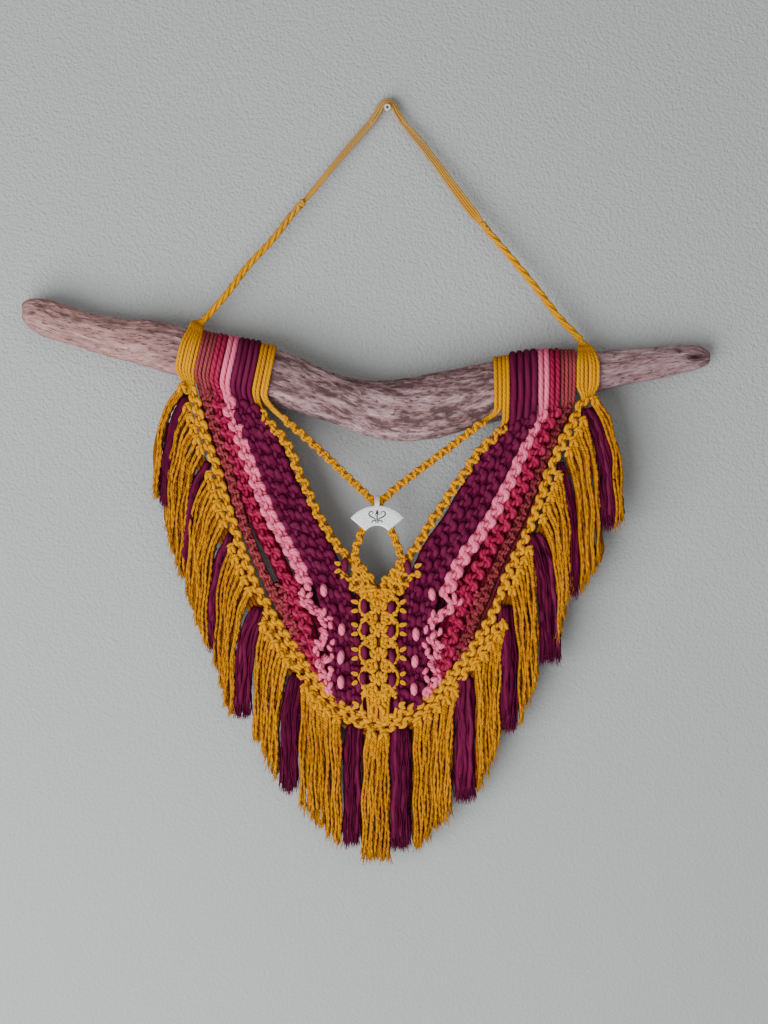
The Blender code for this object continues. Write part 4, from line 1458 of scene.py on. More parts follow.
# Dark cords behind them as painted shade: metres beside its middle line, and where along it they start.
EDGING_SEAMS = (
    (0.0, 20 * MM), (3.4 * MM, 120 * MM), (6.4 * MM, 60 * MM), (9.2 * MM, 60 * MM), (12.4 * MM, 60 * MM),
)


class Edging:
    """The mustard bar along the hanging's lower edge, with the outer wraps."""

    def __init__(self, assembly: Assembly, wrapping: Wrapping) -> None:
        """Lays the bar's middle line.

        Args:
            assembly: Where the bar goes.
            wrapping: Lays its wraps.
        """
        self.assembly = assembly
        self.wrapping = wrapping
        points = [(x * MM, float(sheet_depth(z * MM)), z * MM) for x, z in EDGING]
        self.route = Route(np.array(points))

    def build(self, side: str, number: int) -> None:
        """Makes one half of the edging bar.

        Args:
            side: left or right.
            number: The seed.
        """
        mesh = CordMesh(MUSTARD, number)
        lowest = int(self.route.points[:, 2].argmin())
        points = self.route.points[: lowest + 1] if side == "left" else self.route.points[:lowest - 1 : -1]
        points = points.copy()
        leave = self.wrapping.branch.section(points[0, 0], np.zeros(1), 0.0)[0, 1]
        blend = np.clip((points[0, 2] - points[:, 2]) / 0.07, 0, 1)
        points[:, 1] += (leave - points[:, 1]) * (1 - blend)
        line = Route(points)
        self.wrapping.lay(mesh, side, "edging", line, 3.6 * MM)
        centre, _, across, _ = line.frame(line.stops)
        outward = -across * np.sign(across[:, 2:3])
        for shift, start, tie in EDGING_ROWS:
            row = Route(centre + outward * shift)
            mesh.tie(row, tie, start, row.length)
        # Dark seams behind the knots: painted shade.
        for shift, start in EDGING_SEAMS:
            row = Route(centre + outward * shift - OUT * 2.6 * MM)
            mesh.run(row.at(np.linspace(start, row.length, 60)), tone=-1.7)
        self.assembly.cords(mesh, f"edging_{side}")


# Middle lines of the straps, XYZ in millimetres.
STRAPS = {
    "left": (
        (-86, -40, -250), (-59, -40, -273), (-37, -39, -294), (-16, -36.5, -314),
        (-8, -36.5, -321.5), (2, -36.5, -339), (6, -36, -349), (9.5, -35, -358), (10.9, -34.5, -364),
        (9, -34, -370), (4.5, -33.5, -376), (-1, -33, -381),
    ),
    "right": (
        (79, -46.5, -253), (57, -45.5, -270), (37, -44, -285), (0, -42.5, -314),
        (-8, -42, -321.5), (-18.5, -40.5, -337), (-23, -37.5, -350), (-25.9, -35.5, -360),
        (-24.3, -34.5, -367), (-19.5, -33.8, -372.6), (-13.9, -33.2, -379),
    ),
}
STRAP_TIE = Tie(8.4 * MM, 4.1 * MM, 1.8 * MM, 2, 0.08)
STRAP_YARN = Yarn(Tint.MUSTARD, 1.5 * MM, plies=3, twist=9 * MM, crease=0.12)


@dataclass
class Straps:
    """The two straps that cross inside the charm's bail."""

    assembly: Assembly
    wrapping: Wrapping

    def build(self, side: str, number: int) -> None:
        """Makes one strap with its wrap.

        Args:
            side: left or right.
            number: The seed.
        """
        mesh = CordMesh(STRAP_YARN, number)
        line = Route(np.array(STRAPS[side]) * MM)
        self.wrapping.lay(mesh, side, "strap", line, 1.4 * MM)
        mesh.tie(line, STRAP_TIE, 5 * MM, line.length)
        self.assembly.cords(mesh, f"strap_{side}")


# ---- middle column


@dataclass(frozen=True)
class ColumnSize:
    """Where the column's knots, the outer edges of its holes and its tail are, in picture steps."""

    middle: float = PHOTO_MIDDLE
    pair_rows: tuple[float, ...] = (594.5, 617.5, 641.0, 665.5, 690.0)
    single_rows: tuple[float, ...] = (606.0, 629.0, 653.5, 678.0)
    hole_reach: float = 13.5
    tail: tuple[float, float] = (697.0, 722.0)


@dataclass(frozen=True)
class Leaf:
    """A short pass of cord in a knot: its place and length in picture steps, its turn in degrees."""

    x: float
    y: float
    turn: float
    length: float


PAIR_KNOT = (
    Leaf(-7.0, 0.0, 80, 12.0), Leaf(-11.5, -3.6, 28, 8.5), Leaf(-6.0, -5.4, 12, 8.5),
    Leaf(-13.5, 0.6, 75, 7.5), Leaf(-8.0, -0.8, -18, 8.5), Leaf(-11.0, 4.4, -30, 8.5),
    Leaf(-5.6, 5.2, 22, 8.5), Leaf(-3.4, 0.0, 88, 10.0), Leaf(-7.2, 2.4, 50, 6.5),
    Leaf(-15.5, -4.0, 55, 6.5), Leaf(-15.0, 4.6, -50, 6.5),
)
SINGLE_KNOT = (
    Leaf(-7.0, 0.6, -70, 9.0), Leaf(7.0, 0.6, 70, 9.0), Leaf(-5.2, -2.6, -55, 8.5),
    Leaf(5.2, -2.6, 55, 8.5), Leaf(-1.6, -3.4, 80, 8.0), Leaf(2.0, -2.8, 100, 8.0),
    Leaf(-3.4, 2.4, 62, 8.0), Leaf(3.4, 2.4, 118, 8.0), Leaf(0.0, 1.4, 8, 7.5), Leaf(0.0, 4.4, 90, 6.5),
)
SIDE_KNOT = (Leaf(0.0, -2.6, 20, 7.0), Leaf(0.6, 2.2, -24, 7.0), Leaf(-2.4, 0.0, 90, 6.0))
TAIL_KNOT = (
    Leaf(-6.5, 0.0, 60, 8.0), Leaf(6.5, -1.0, 120, 8.0), Leaf(-3.0, -2.0, 30, 7.0), Leaf(3.5, 2.0, 140, 7.0),
    Leaf(-6.0, 5.0, 95, 7.5), Leaf(5.5, 5.5, 85, 7.5),
)
# Where the two loops beside the foot of the V start, in picture steps, and the way they point.
YOKE_PETALS = ((340, 567, -1), (416, 569, 1))
# The tail's cords, across, and what they gather to.
TAIL_CORDS = (366.5, 369.3, 372.2, 375.0, 381.8, 384.6, 387.4, 390.2)
TAIL_MIDDLE = 378.5
YOKE_TIE = Tie(8.6 * MM, 5.2 * MM, 2.4 * MM, 2, 0.16, 3, 1.8 * MM)
# The left half's bars at the foot of the V, as points in picture steps.
YOKE = (
    ((366, 578), (372, 585), (377, 593)),
    ((354, 571), (360, 579), (367, 587), (374, 593)),
    ((341, 573), (348, 580), (356, 588), (365, 594), (375, 601)),
)


class Column:
    """The middle column of alternating square knots, with its petal loops."""

    def __init__(self, assembly: Assembly, size: ColumnSize) -> None:
        """Starts the column's mesh.

        Args:
            assembly: Where the column goes.
            size: Where its knots stand.
        """
        self.assembly = assembly
        self.size = size
        self.mesh = CordMesh(STRAP_YARN, SEED + 80)

    def knot(self, px: float, py: float, leaves: tuple[Leaf, ...], way: int = 1) -> None:
        """Adds a knot made of short passes of cord.

        Args:
            px: Its middle, in picture steps.
            py: Its middle, in picture steps.
            leaves: The passes.
            way: 1 as given, -1 mirrored.
        """
        rng = self.mesh.rng
        table = np.array([(leaf.x, leaf.y, leaf.turn, leaf.length) for leaf in leaves])
        count = len(table)
        table[:, :2] += rng.uniform(-0.5, 0.5, (count, 2))
        places = table[:, :2] * (way, 1) + (px, py)
        centre = on_sheet(places, -(2.0 + 0.5 * np.arange(count) % 1.6) * MM)
        angle = np.radians(90 + way * (table[:, 2] - 90) + rng.uniform(-9, 9, count))
        self.mesh.passes(centre, angle, table[:, 3] * PHOTO_STEP, 1.75 * MM, rng.uniform(-0.25, 0.3, count))

    def cord(self, points: tuple, depth: float, tone: float = 0.0) -> None:
        """Adds a plain cord through picture points, so many metres behind the sheet's middle."""
        self.mesh.run(Route(on_sheet(points, depth)).even(16), tone=tone)

    def petals(self, px: float, py: float, way: int, apart: float = 4.6) -> None:
        """Adds the two short loops that stand out beside a hole.

        Args:
            px: Where they start, in picture steps.
            py: The middle of the hole, in picture steps.
            way: -1 to the left, 1 to the right.
            apart: How far each is above or below the middle.
        """
        turn = np.linspace(0, math.tau, 14, endpoint=False)
        for lift in (-1, 1):
            tilt = math.radians(22 * lift + self.mesh.rng.uniform(-14, 14))
            point = np.array([way * math.cos(tilt), 0.0, -math.sin(tilt)])
            beside = np.array([-point[2], 0.0, point[0]])
            centre = on_sheet([(px + way * 2.2, py + apart * lift)], -5.2 * MM)[0]
            slim = 1.15 * MM * np.sin(turn) * (0.75 - 0.35 * np.cos(turn))
            reach = self.mesh.rng.uniform(1.9, 2.6) * MM
            path = centre + point * (reach * np.cos(turn))[:, None] + beside * slim[:, None]
            self.mesh.run(path, 1.0 * MM, 0.3, closed=True)

    def rim(self, points: tuple) -> None:
        """Adds the lumpy outer edge of a hole, a chain of short passes.

        Args:
            points: Picture steps to the right and down, for the ends of the passes.
        """
        rng = self.mesh.rng
        ends = np.array([spot(px, py) for px, py in points])
        middle = (ends[1:] + ends[:-1]) / 2 + rng.uniform(-0.4, 0.4, (len(ends) - 1, 3)) * MM
        middle[:, 1] = sheet_depth(middle[:, 2]) - 3.4 * MM
        step = ends[1:] - ends[:-1]
        angle = np.arctan2(step[:, 2], step[:, 0]) + rng.uniform(-0.35, 0.35, len(step))
        length = np.linalg.norm(step, axis=1) + 2.6 * MM
        self.mesh.passes(middle, angle, length, 1.5 * MM, rng.uniform(-0.1, 0.3, len(step)))

    def yoke(self) -> None:
        """Adds the bars at the foot of the V that run down to the middle."""
        for side in SIDES:
            for points in YOKE:
                route = Route(on_sheet(on_side(points, side, 0.0), -0.6 * MM))
                self.mesh.tie(route, YOKE_TIE, 0.0, route.length)

    def build(self) -> None:
        """Makes the whole column."""
        size = self.size
        for row in size.pair_rows:
            for way in (-1, 1):
                self.knot(size.middle, row, PAIR_KNOT, -way)
        for row in size.single_rows:
            self.knot(size.middle, row, SINGLE_KNOT)
        for row in size.pair_rows[1:]:
            for way in (-1, 1):
                self.knot(size.middle + 14.5 * way, row, SIDE_KNOT, way)
        self.yoke()
        # Straight cords behind the knots, darkened as painted shade.
        for offset in (-7.0, -3.5, 0.0, 3.5, 7.0):
            x = size.middle + offset
            self.cord(((x, 584 - 0.4 * offset), (x, 620), (x, 655), (x, 694)), 2.2 * MM, -1.0)
        for row, above, below in zip(size.single_rows, size.pair_rows, size.pair_rows[1:]):
            for way in (-1, 1):
                x = size.middle + way * size.hole_reach
                rim = ((x, above + 2), (x + way * 4.5, (above + row) / 2), (x + way * 6.0, row))
                rim += ((x + way * 4.5, (below + row) / 2), (x, below - 2))
                self.rim(rim)
                self.petals(size.middle + way * 22.0, row, way)
                inner = ((size.middle + way * 9, above), (size.middle + way * 5, row))
                inner += ((size.middle + way * 9, below),)
                self.cord(inner, 0.0, -0.2)
        for px, py, way in YOKE_PETALS:
            self.petals(px, py, way, 3.8)
        for i, px in enumerate(TAIL_CORDS):
            sway = self.mesh.rng.uniform(-1.2, 1.2)
            low = TAIL_MIDDLE + (px - TAIL_MIDDLE) * 0.8
            points = ((px, size.tail[0] - 8), (low + sway, 706), (low, size.tail[1]))
            self.cord(points, (-1.4 - 1.0 * (i % 2)) * MM, self.mesh.rng.uniform(-0.7, -0.2))
        self.knot(size.middle, size.tail[0], SINGLE_KNOT)
        self.knot(size.middle - 1.0, size.tail[0] + 9.0, TAIL_KNOT)
        for way in (-1, 1):
            x = size.middle + way * size.hole_reach
            self.cord(((x, 692), (x + way * 4, 700), (x + way * 4, 708), (x + way * 2, 716)), -2 * MM, 0.1)
            self.petals(size.middle + way * 21.0, 705, way, 1.5)
        self.assembly.cords(self.mesh, "centre_column")


# ---- fringe


@dataclass(frozen=True)
class Bundle:
    """A fringe bundle: its stretch of the edging bar, its tips and its length, in millimetres."""

    start: float
    end: float
    tip_left: float
    tip_right: float
    length: float


FRINGE = tuple(
    Bundle(*row)
    for row in (
        (0, 5, -188, -182, 94), (5, 14, -182, -173, 90), (14, 58, -178, -163, 107),
        (58, 71, -166, -158, 93), (71, 119, -161, -144, 105), (119, 131, -145, -138, 94),
        (131, 177, -139, -124, 106), (177, 197, -124, -109, 90), (197, 240, -108, -87, 98),
        (240, 256, -87, -72, 97), (256, 296, -71, -36, 106), (296, 315, -36, -21, 100),
        (315, 330, -22, 2, 108), (330, 346, 2, 19, 100), (346, 390, 20, 52, 108),
        (390, 408, 53, 71, 102), (408, 454, 71, 90, 106), (454, 472, 89, 105, 103),
        (472, 516, 105, 121, 112), (516, 534, 122, 140, 106), (534, 580, 136, 147, 101),
        (580, 592, 146, 154, 109), (592, 628, 153, 172, 120), (628, 640, 170, 184, 98),
        (640, 645, 181, 189, 106),
    )
)
# Share of a fringe cord's length, and of its way across that it has gone by there.
FALL = np.array([[0.0, 0.0], [0.16, 0.5], [0.46, 0.86], [1.0, 1.0]])


@dataclass(frozen=True)
class FringeLayer:
    """One of the rows of cords in a mustard bundle.

    Depth behind the bundle's middle and pitch from cord to cord are millimetres, `full` is a share
    of the yarn's radius, and hairs end the frayed cords. `tone` is painted shade, deepest for the
    rows furthest back.
    """

    depth: float
    tone: float
    pitch: float
    full: float
    points: int
    sides: int
    frayed: bool


# Each row's tone is painted shade, darker the further back it hangs.
FRINGE_LAYERS = (
    FringeLayer(-2.2, -0.3, 2.35, 1.0, 64, 5, True),
    FringeLayer(0.0, -0.65, 2.6, 1.05, 50, 5, True),
    FringeLayer(2.4, -1.35, 2.6, 1.5, 30, 4, False),
)


@dataclass(frozen=True)
class LockLayer:
    """One of the two kinds of yarn in a plum lock.

    `share` is how many there are for each thick one, `reach` the share of the lock's half width
    that they fill, and `deep` and `ahead` how far they spread and stand forward, in millimetres.
    """

    share: int
    radius: float
    points: int
    reach: float
    deep: float
    ahead: float
    sides: int
    hairs: int


LOCK_LAYERS = (
    LockLayer(1, 2.2, 30, 0.9, 2.4, 0.0, 7, 9),
    LockLayer(2, 0.7, 26, 1.0, 3.6, 0.4, 4, 2),
)
FRINGE_YARN = Yarn(Tint.MUSTARD, 1.25 * MM, plies=2, twist=7 * MM, crease=0.2, sides=6)
LOCK_YARN = Yarn(Tint.PLUM, 1.6 * MM, plies=3, twist=34 * MM, crease=0.1, sides=7)
# How far from the edging's middle line the heads stand where it has one row and where it has two,
# and metres from the bar's end between which that changes.
HEAD_REACH = (6.4 * MM, 10.2 * MM)
HEAD_ENDS = (0.17, 0.21)
# Passes of a head: millimetres across and up, turn in degrees, length in millimetres.
HEAD_LEAVES = ((-1.7, -1.0, 70, 7.0), (1.7, -1.0, 110, 7.0), (-0.4, 2.6, 14, 7.4), (0.6, 0.6, -14, 7.0))


@dataclass
class Fringe:
    """Mustard cords and combed plum locks that hang from the edging bar."""

    assembly: Assembly
    edging: Edging

    def _away(self, distances: Array, reach: float) -> Array:
        """Points at distances along the bar and a reach off its middle line, on its outer side."""
        centre, _, across, _ = self.edging.route.frame(distances)
        return centre - across * np.sign(across[:, 2:3]) * reach

    def _reach(self, distance: float) -> float:
        """How far from the bar's middle line the heads stand: more where the bar has a second row."""
        ends = min(distance, self.edging.route.length - distance)
        return float(np.interp(ends, HEAD_ENDS, HEAD_REACH))

    def _fall(self, starts: Array, tips: Array, lengths: Array, points: int) -> Array:
        """Lays paths from start points to tips, steep at the tips and leaning at the top.

        Args:
            starts: One XYZ row for each path.
            tips: X of each path's tip.
            lengths: How far down each path goes.
            points: Points along each.

        Returns:
            Array of shape (paths, points, 3).
        """
        t = np.linspace(0, 1, points)
        across = np.interp(t, FALL[:, 0], FALL[:, 1])
        across = np.convolve(np.pad(across, 3, mode="edge"), np.ones(7) / 7, "valid")
        across = (across - across[0]) / (across[-1] - across[0])
        x = starts[:, :1] + (tips[:, None] - starts[:, :1]) * across
        z = starts[:, 2:3] - lengths[:, None] * t
        return np.stack([x, sheet_depth(z), z], axis=-1)

    @staticmethod
    def _fray(mesh: CordMesh, paths: Array, hairs: int, spread: float, tone: float) -> None:
        """Adds fine hairs that fan out of the lower ends of cords.

        Args:
            mesh: Where they go.
            paths: The cords' paths.
            hairs: How many for each cord.
            spread: How far they stray to the sides, in metres.
            tone: Lighter (+) or darker (-).
        """
        rng = mesh.rng
        ends = np.repeat(paths[:, -5], hairs, axis=0)
        count, t = len(ends), np.linspace(0, 1, 5)[None]
        drop = np.repeat(paths[:, -5, 2] - paths[:, -1, 2], hairs) + rng.uniform(0.5, 5.0, count) * MM
        hair = np.repeat(ends[:, None], 5, axis=1)
        hair[..., 0] += rng.uniform(-1, 1, (count, 1)) * (0.5 * MM + spread * t**1.5)
        hair[..., 1] += rng.uniform(-1, 1, (count, 1)) * (0.5 * MM + spread * t)
        hair[..., 2] -= drop[:, None] * t
        shade = tone + rng.uniform(-0.3, 0.3, (count, 1))
        mesh.run(hair, 0.45 * MM * (1 - 0.7 * t) * np.ones((count, 1)), shade, sides=3)

    def mustard(self, bundle: Bundle, mesh: CordMesh) -> None:
        """Adds crimped cords under their knots, in front of and behind each other.

        Args:
            bundle: Where they hang.
            mesh: Where they go.
        """
        width = bundle.tip_right - bundle.tip_left
        knots = max(1, round((bundle.end - bundle.start) / 8.5))
        edges = np.linspace(bundle.start, bundle.end, knots + 1)
        middle = (edges[1:] + edges[:-1]) / 2
        reach = self._reach(edges.mean() * MM)
        self._heads(mesh, self._away(middle * MM, reach))
        for layer in FRINGE_LAYERS:
            count = max(2, round(max(width, 0.45 * (bundle.end - bundle.start)) / layer.pitch))
            share = (np.arange(count) + 0.5) / count
            knot = np.minimum((share * knots).astype(int), knots - 1)
            place = middle[knot] + (share * knots % 1.0 - 0.5) * 6.4
            starts = self._away(place * MM, reach)
            tips = (bundle.tip_left + width * (0.04 + 0.92 * share)) * MM
            self._strands(mesh, bundle, starts, tips, layer)

    def _strands(
        self, mesh: CordMesh, bundle: Bundle, starts: Array, tips: Array, layer: FringeLayer
    ) -> None:
        """Adds one row of crimped cords from their starts to their tips.

        Args:
            mesh: Where they go.
            bundle: Where they hang.
            starts: One XYZ row for each cord.
            tips: X of each cord's tip.
            layer: Which row it is.
        """
        rng, count, points = mesh.rng, len(tips), layer.points
        low, high = (bundle.tip_left + 0.8) * MM, (bundle.tip_right - 0.8) * MM
        tips = np.clip(tips + rng.uniform(-1.2, 1.2, count) * MM, low, high)
        lengths = bundle.length * MM * rng.uniform(0.93, 1.0, count) - 5 * MM
        paths = self._fall(starts, tips, lengths, points)
        t = np.linspace(0, 1, points)[None]
        travelled = t * lengths[:, None]
        phase = rng.uniform(0, math.tau, (3, count, 1))
        grow = np.clip(t * 6, 0, 1)
        wave = rng.uniform(5.0, 6.6, (count, 1)) * MM
        crimp = np.sin(math.tau * travelled / wave + phase[0])
        paths[..., 0] += grow * 0.24 * MM * crimp
        paths[..., 0] += grow * 0.8 * MM * np.sin(math.tau * travelled / (8.0 * wave) + phase[1])
        sway = 0.6 * MM * np.cos(math.tau * travelled / (2.6 * wave) + phase[2])
        paths[..., 1] += (layer.depth + rng.uniform(-0.6, 0.6, (count, 1))) * MM + grow * sway
        end = np.clip((1 - t) / 0.05, 0.35, 1)
        tone = layer.tone + rng.uniform(-0.3, 0.2, (count, 1)) + 0.3 * np.clip((t - 0.88) / 0.12, 0, 1)
        full = layer.full * (1 + 0.4 * np.clip(1 - t / 0.35, 0, 1))
        # Painted shade where the crimp narrows the cord.
        shade = tone - 0.22 * (1 - crimp)
        mesh.run(paths, FRINGE_YARN.radius * full * end * (1 + 0.12 * crimp), shade, sides=layer.sides)
        if layer.frayed:
            self._fray(mesh, paths, 6, 2.8 * MM, layer.tone + 0.25)

    @staticmethod
    def _heads(mesh: CordMesh, centre: Array) -> None:
        """Adds the knots on which the cords leave the bar.

        Args:
            mesh: Where they go.
            centre: One XYZ row for each knot.
        """
        rng, count = mesh.rng, len(centre)
        for x, z, turn, length in HEAD_LEAVES:
            place = centre + np.array([x, -2.0 + 0.3 * z, z]) * MM + rng.uniform(-0.4, 0.4, (count, 3)) * MM
            angle = np.radians(turn + rng.uniform(-16, 16, count))
            mesh.passes(place, angle, np.full(count, length * MM), 1.85 * MM, rng.uniform(-0.2, 0.2, count))

    def plum(self, bundle: Bundle, mesh: CordMesh) -> None:
        """Adds a combed lock: a rounded head and many soft yarns with ragged tips.

        Args:
            bundle: Where it hangs.
            mesh: Where it goes.
        """
        rng = mesh.rng
        width = (bundle.tip_right - bundle.tip_left) * MM
        middle = np.array([(bundle.start + bundle.end) / 2 * MM])
        head = self._away(middle, self._reach(middle[0]) - 2.6 * MM)
        tip_middle = (bundle.tip_left + bundle.tip_right) / 2 * MM
        full = (bundle.length * MM - 2 * MM) * np.ones(1)
        thick = int(4 + width / MM * 0.6)
        for kind in LOCK_LAYERS:
            count = thick * kind.share
            place = rng.permutation(np.linspace(-1, 1, count))
            layer = rng.uniform(-1, 1, count) * np.sqrt(1 - 0.75 * place**2)
            lengths = full * rng.uniform(0.92, 0.99, count)
            starts = np.repeat(head, count, axis=0)
            paths = self._fall(starts, np.full(count, tip_middle), lengths, kind.points)
            t = np.linspace(0, 1, kind.points)[None]
            spread = 0.55 + 0.45 * np.sqrt(1 - (1 - np.clip(t / 0.06, 0, 1)) ** 2)
            half = width / 2 - kind.radius * MM
            paths[..., 0] += half * place[:, None] * spread * kind.reach
            phase = rng.uniform(0, math.tau, (3, count, 1))
            sway = np.sin(t * rng.uniform(13, 22, (count, 1)) + phase[0])
            slow = np.sin(t * rng.uniform(6, 11, (count, 1)) + phase[1])
            paths[..., 0] += np.clip(t * 8, 0, 1) * (0.55 * MM * sway + 0.95 * MM * slow)
            depth = layer[:, None] * kind.deep - kind.ahead
            paths[..., 1] += 0.9 * MM + depth * MM * np.clip(spread, 0.3, 1)
            end = np.clip((1 - t) / 0.07, 0.3, 1)
            knobs = 1 + 0.13 * np.sin(t * rng.uniform(22, 36, (count, 1)) + phase[2])
            # Painted shade darkens each yarn's top under the head; painted light brightens its knobs.
            tone = rng.uniform(-1.1, 0.1, (count, 1)) + 0.5 * (knobs - 1) - 0.7 * np.clip(1 - t / 0.05, 0, 1)
            mesh.run(paths, kind.radius * MM * end * knobs, tone, sides=kind.sides)
            self._fray(mesh, paths, kind.hairs, 2.4 * MM, 0.3)

    def build(self, number: int) -> None:
        """Makes all bundles.

        Args:
            number: Start of the seeds.
        """
        for i, bundle in enumerate(FRINGE):
            plum = i % 2 == 1
            mesh = CordMesh(LOCK_YARN if plum else FRINGE_YARN, number + i)
            (self.plum if plum else self.mustard)(bundle, mesh)
            self.assembly.cords(mesh, f"fringe_{i + 1:02d}_{'plum' if plum else 'mustard'}")


# ---- hanger


# Middle lines of the hanger's halves, from the branch up, XYZ in millimetres.
HANGER = {
    "left": (
        (-149, -21, -174.5), (-131, -20, -154), (-113, -18, -130), (-92, -16, -107), (-75, -14, -85),
        (-67, -13, -76), (-34, -9, -36), (-6.6, -5.6, -4.4),
    ),
    "right": (
        (157, -18, -189.5), (141, -17, -173.5), (118, -15, -144), (94, -13, -115), (82, -12, -101),
        (69, -11, -85), (24, -7.5, -25), (6.6, -5.6, -4.4),
    ),
}


@dataclass(frozen=True)
class HangerSize:
    """One half of the hanger, in metres.

    Its twisted sinnet makes a full turn in `turn` and ends `knotted` up. The plain strands above
    fill half the width `reach`, of which `flare` is the share at the sinnet and at the nail.
    """

    turn: float
    knotted: float
    strands: int
    reach: float
    flare: tuple[float, float]


HANGER_SIZES = {
    "left": HangerSize(25 * MM, 0.124, 4, 2.5 * MM, (0.42, 0.8)),
    "right": HangerSize(36 * MM, 0.122, 4, 3.0 * MM, (1.0, 0.65)),
}
HANGER_YARN = Yarn(Tint.MUSTARD, 1.15 * MM, plies=3, twist=8 * MM, crease=0.12)
# The bend over the nail: X and Z of its middle line in millimetres.
LOOP_ARCH = (
    (-14.5, -13.5), (-10.5, -8.9), (-6.6, -4.0), (-3.2, 1.5), (0.0, 3.4),
    (3.2, 1.5), (6.6, -4.0), (10.5, -9.0), (14.3, -13.6),
)
# Its strands, in millimetres: Y at the top, and how far outside the line at the top and at the ends.
LOOP_STRANDS = (
    (-7.2, 0.0, -1.9), (-5.2, 0.3, -1.0), (-3.4, 0.0, 0.0),
    (-6.6, 1.9, 0.6), (-4.4, 1.9, 1.2), (-5.6, 3.5, 1.9),
)
LOOP_END_DEPTH = 6.2
# The foot of each half: angles round the branch, and millimetres off the wood.
FOOT_ANGLES = np.radians([94, 78, 62])
FOOT_OFF = (3.2, 3.0, 0.6)


@dataclass
class Hanger:
    """The cord from the outer wraps to the nail."""

    assembly: Assembly
    branch: Branch

    def foot(self, mesh: CordMesh, side: str, top: Array) -> None:
        """Spreads the cord's strands over the top of the outer wrap.

        Args:
            mesh: Where they go.
            side: left or right.
            top: Where the strands leave the cord.
        """
        low, high = sorted(np.array(WRAP_EDGES[side][:2]) * MM)
        for part in np.linspace(0.08, 0.92, 7):
            x = low + (high - low) * part
            rounds = zip(FOOT_ANGLES, FOOT_OFF)
            points = np.array([self.branch.section(x, angle, off * MM) for angle, off in rounds])
            points[:, 0] += WRAP_LEAN[side] * np.sin(FOOT_ANGLES)
            points[:, 0] += pinch(points[:, 0], FOOT_ANGLES, side)
            points[0] += (top - points[0]) * 0.4
            start = top[None] + mesh.rng.uniform(-0.5, 0.5, (1, 3)) * MM
            route = Route(np.concatenate([start, points]))
            mesh.run(route.even(24), 1.5 * MM, mesh.rng.uniform(-0.25, 0.05))

    def build(self, side: str, number: int) -> None:
        """Makes one half of the hanger.

        Args:
            side: left or right.
            number: The seed.
        """
        size = HANGER_SIZES[side]
        mesh = CordMesh(HANGER_YARN, number)
        line = Route(np.array(HANGER[side]) * MM)
        self.sinnet(mesh, line, size)
        self.foot(mesh, side, line.at(np.array([2 * MM]))[0])
        centre, _, across, out = line.frame(np.linspace(size.knotted - 2 * MM, line.length, 60))
        t = np.linspace(0, 1, 60)[:, None]
        gather = np.clip(t / 0.12, 0.25, 1) * (size.flare[0] + (size.flare[1] - size.flare[0]) * t)
        gather = gather * np.interp(t, (0.84, 1.0), (1.0, 0.2))
        for part in np.linspace(-1, 1, size.strands):
            lean = out * 0.5 * MM * np.sin(5 * t + part)
            mesh.run(centre + across * part * size.reach * gather + lean, 1.05 * MM, part * 0.15)
        self.assembly.cords(mesh, f"hanger_{side}")

    @staticmethod
    def sinnet(mesh: CordMesh, line: Route, size: HangerSize) -> None:
        """Adds the twisted knotted part and the thicker knot that ends it.

        Args:
            mesh: Where it goes.
            line: The middle line, from the branch up.
            size: How it is made.
        """
        distances = np.linspace(2 * MM, size.knotted, 90)
        centre, along, across, out = line.frame(distances)
        for part in range(3):
            angle = math.tau * (distances / size.turn + part / 3)
            swing = across * np.cos(angle)[:, None] + out * np.sin(angle)[:, None]
            lumps = 1 + 0.1 * np.sin(math.tau * distances / (4.6 * MM) + part)
            mesh.run(centre + 1.45 * MM * swing, 1.6 * MM * lumps, 0.1 * part, twist=7 * MM)
        middle = centre[-1:] + along[-1:] * np.array([[-2.6], [0.0], [2.4]]) * MM + out[-1:] * 1.6 * MM
        turn = math.atan2(along[-1, 2], along[-1, 0]) + np.radians([60, -55, 75])
        mesh.passes(middle, turn, np.array([6.6, 7.6, 6.4]) * MM, 1.8 * MM, np.array([0.0, 0.1, -0.1]))

    def build_loop(self, number: int) -> None:
        """Makes the bend of the strands over the nail.

        Args:
            number: The seed.
        """
        mesh = CordMesh(HANGER_YARN, number)
        arch = Route(np.array([(x * MM, 0.0, z * MM) for x, z in LOOP_ARCH]))
        centre, _, across, _ = arch.frame(np.linspace(1 * MM, arch.length - 1 * MM, 36))
        bow = np.sin(np.linspace(0, math.pi, 36))[:, None]
        for depth, off, end in LOOP_STRANDS:
            out = OUT * ((1 - bow) * LOOP_END_DEPTH - depth * bow)
            mesh.run(centre + (out - across * (off * bow + end * (1 - bow))) * MM, 1.1 * MM)
        self.assembly.cords(mesh, "hanger_loop")


# ---- charm and nail


def take_up(name: str, select: str = "SELECT") -> bpy.types.Object:
    """Names the new primitive, applies its place and turn and opens it for editing.

    Args:
        name: Its name.
        select: SELECT or DESELECT, for all that it has.

    Returns:
        The object.
    """
    obj = bpy.context.active_object
    obj.name = name
    bpy.ops.object.transform_apply(location=True, rotation=True, scale=False)
    bpy.ops.object.mode_set(mode="EDIT")
    bpy.ops.mesh.select_all(action=select)
    return obj


def soften(obj: bpy.types.Object, width: float, segments: int) -> None:
    """Bevels the sharp edges of the active object.

    Args:
        obj: The object.
        width: Metres.
        segments: Rows of faces on each edge.
    """
    rim = obj.modifiers.new("rim", "BEVEL")
    rim.width = width
    rim.segments = segments
    rim.limit_method = "ANGLE"
    bpy.ops.object.modifier_apply(modifier=rim.name)


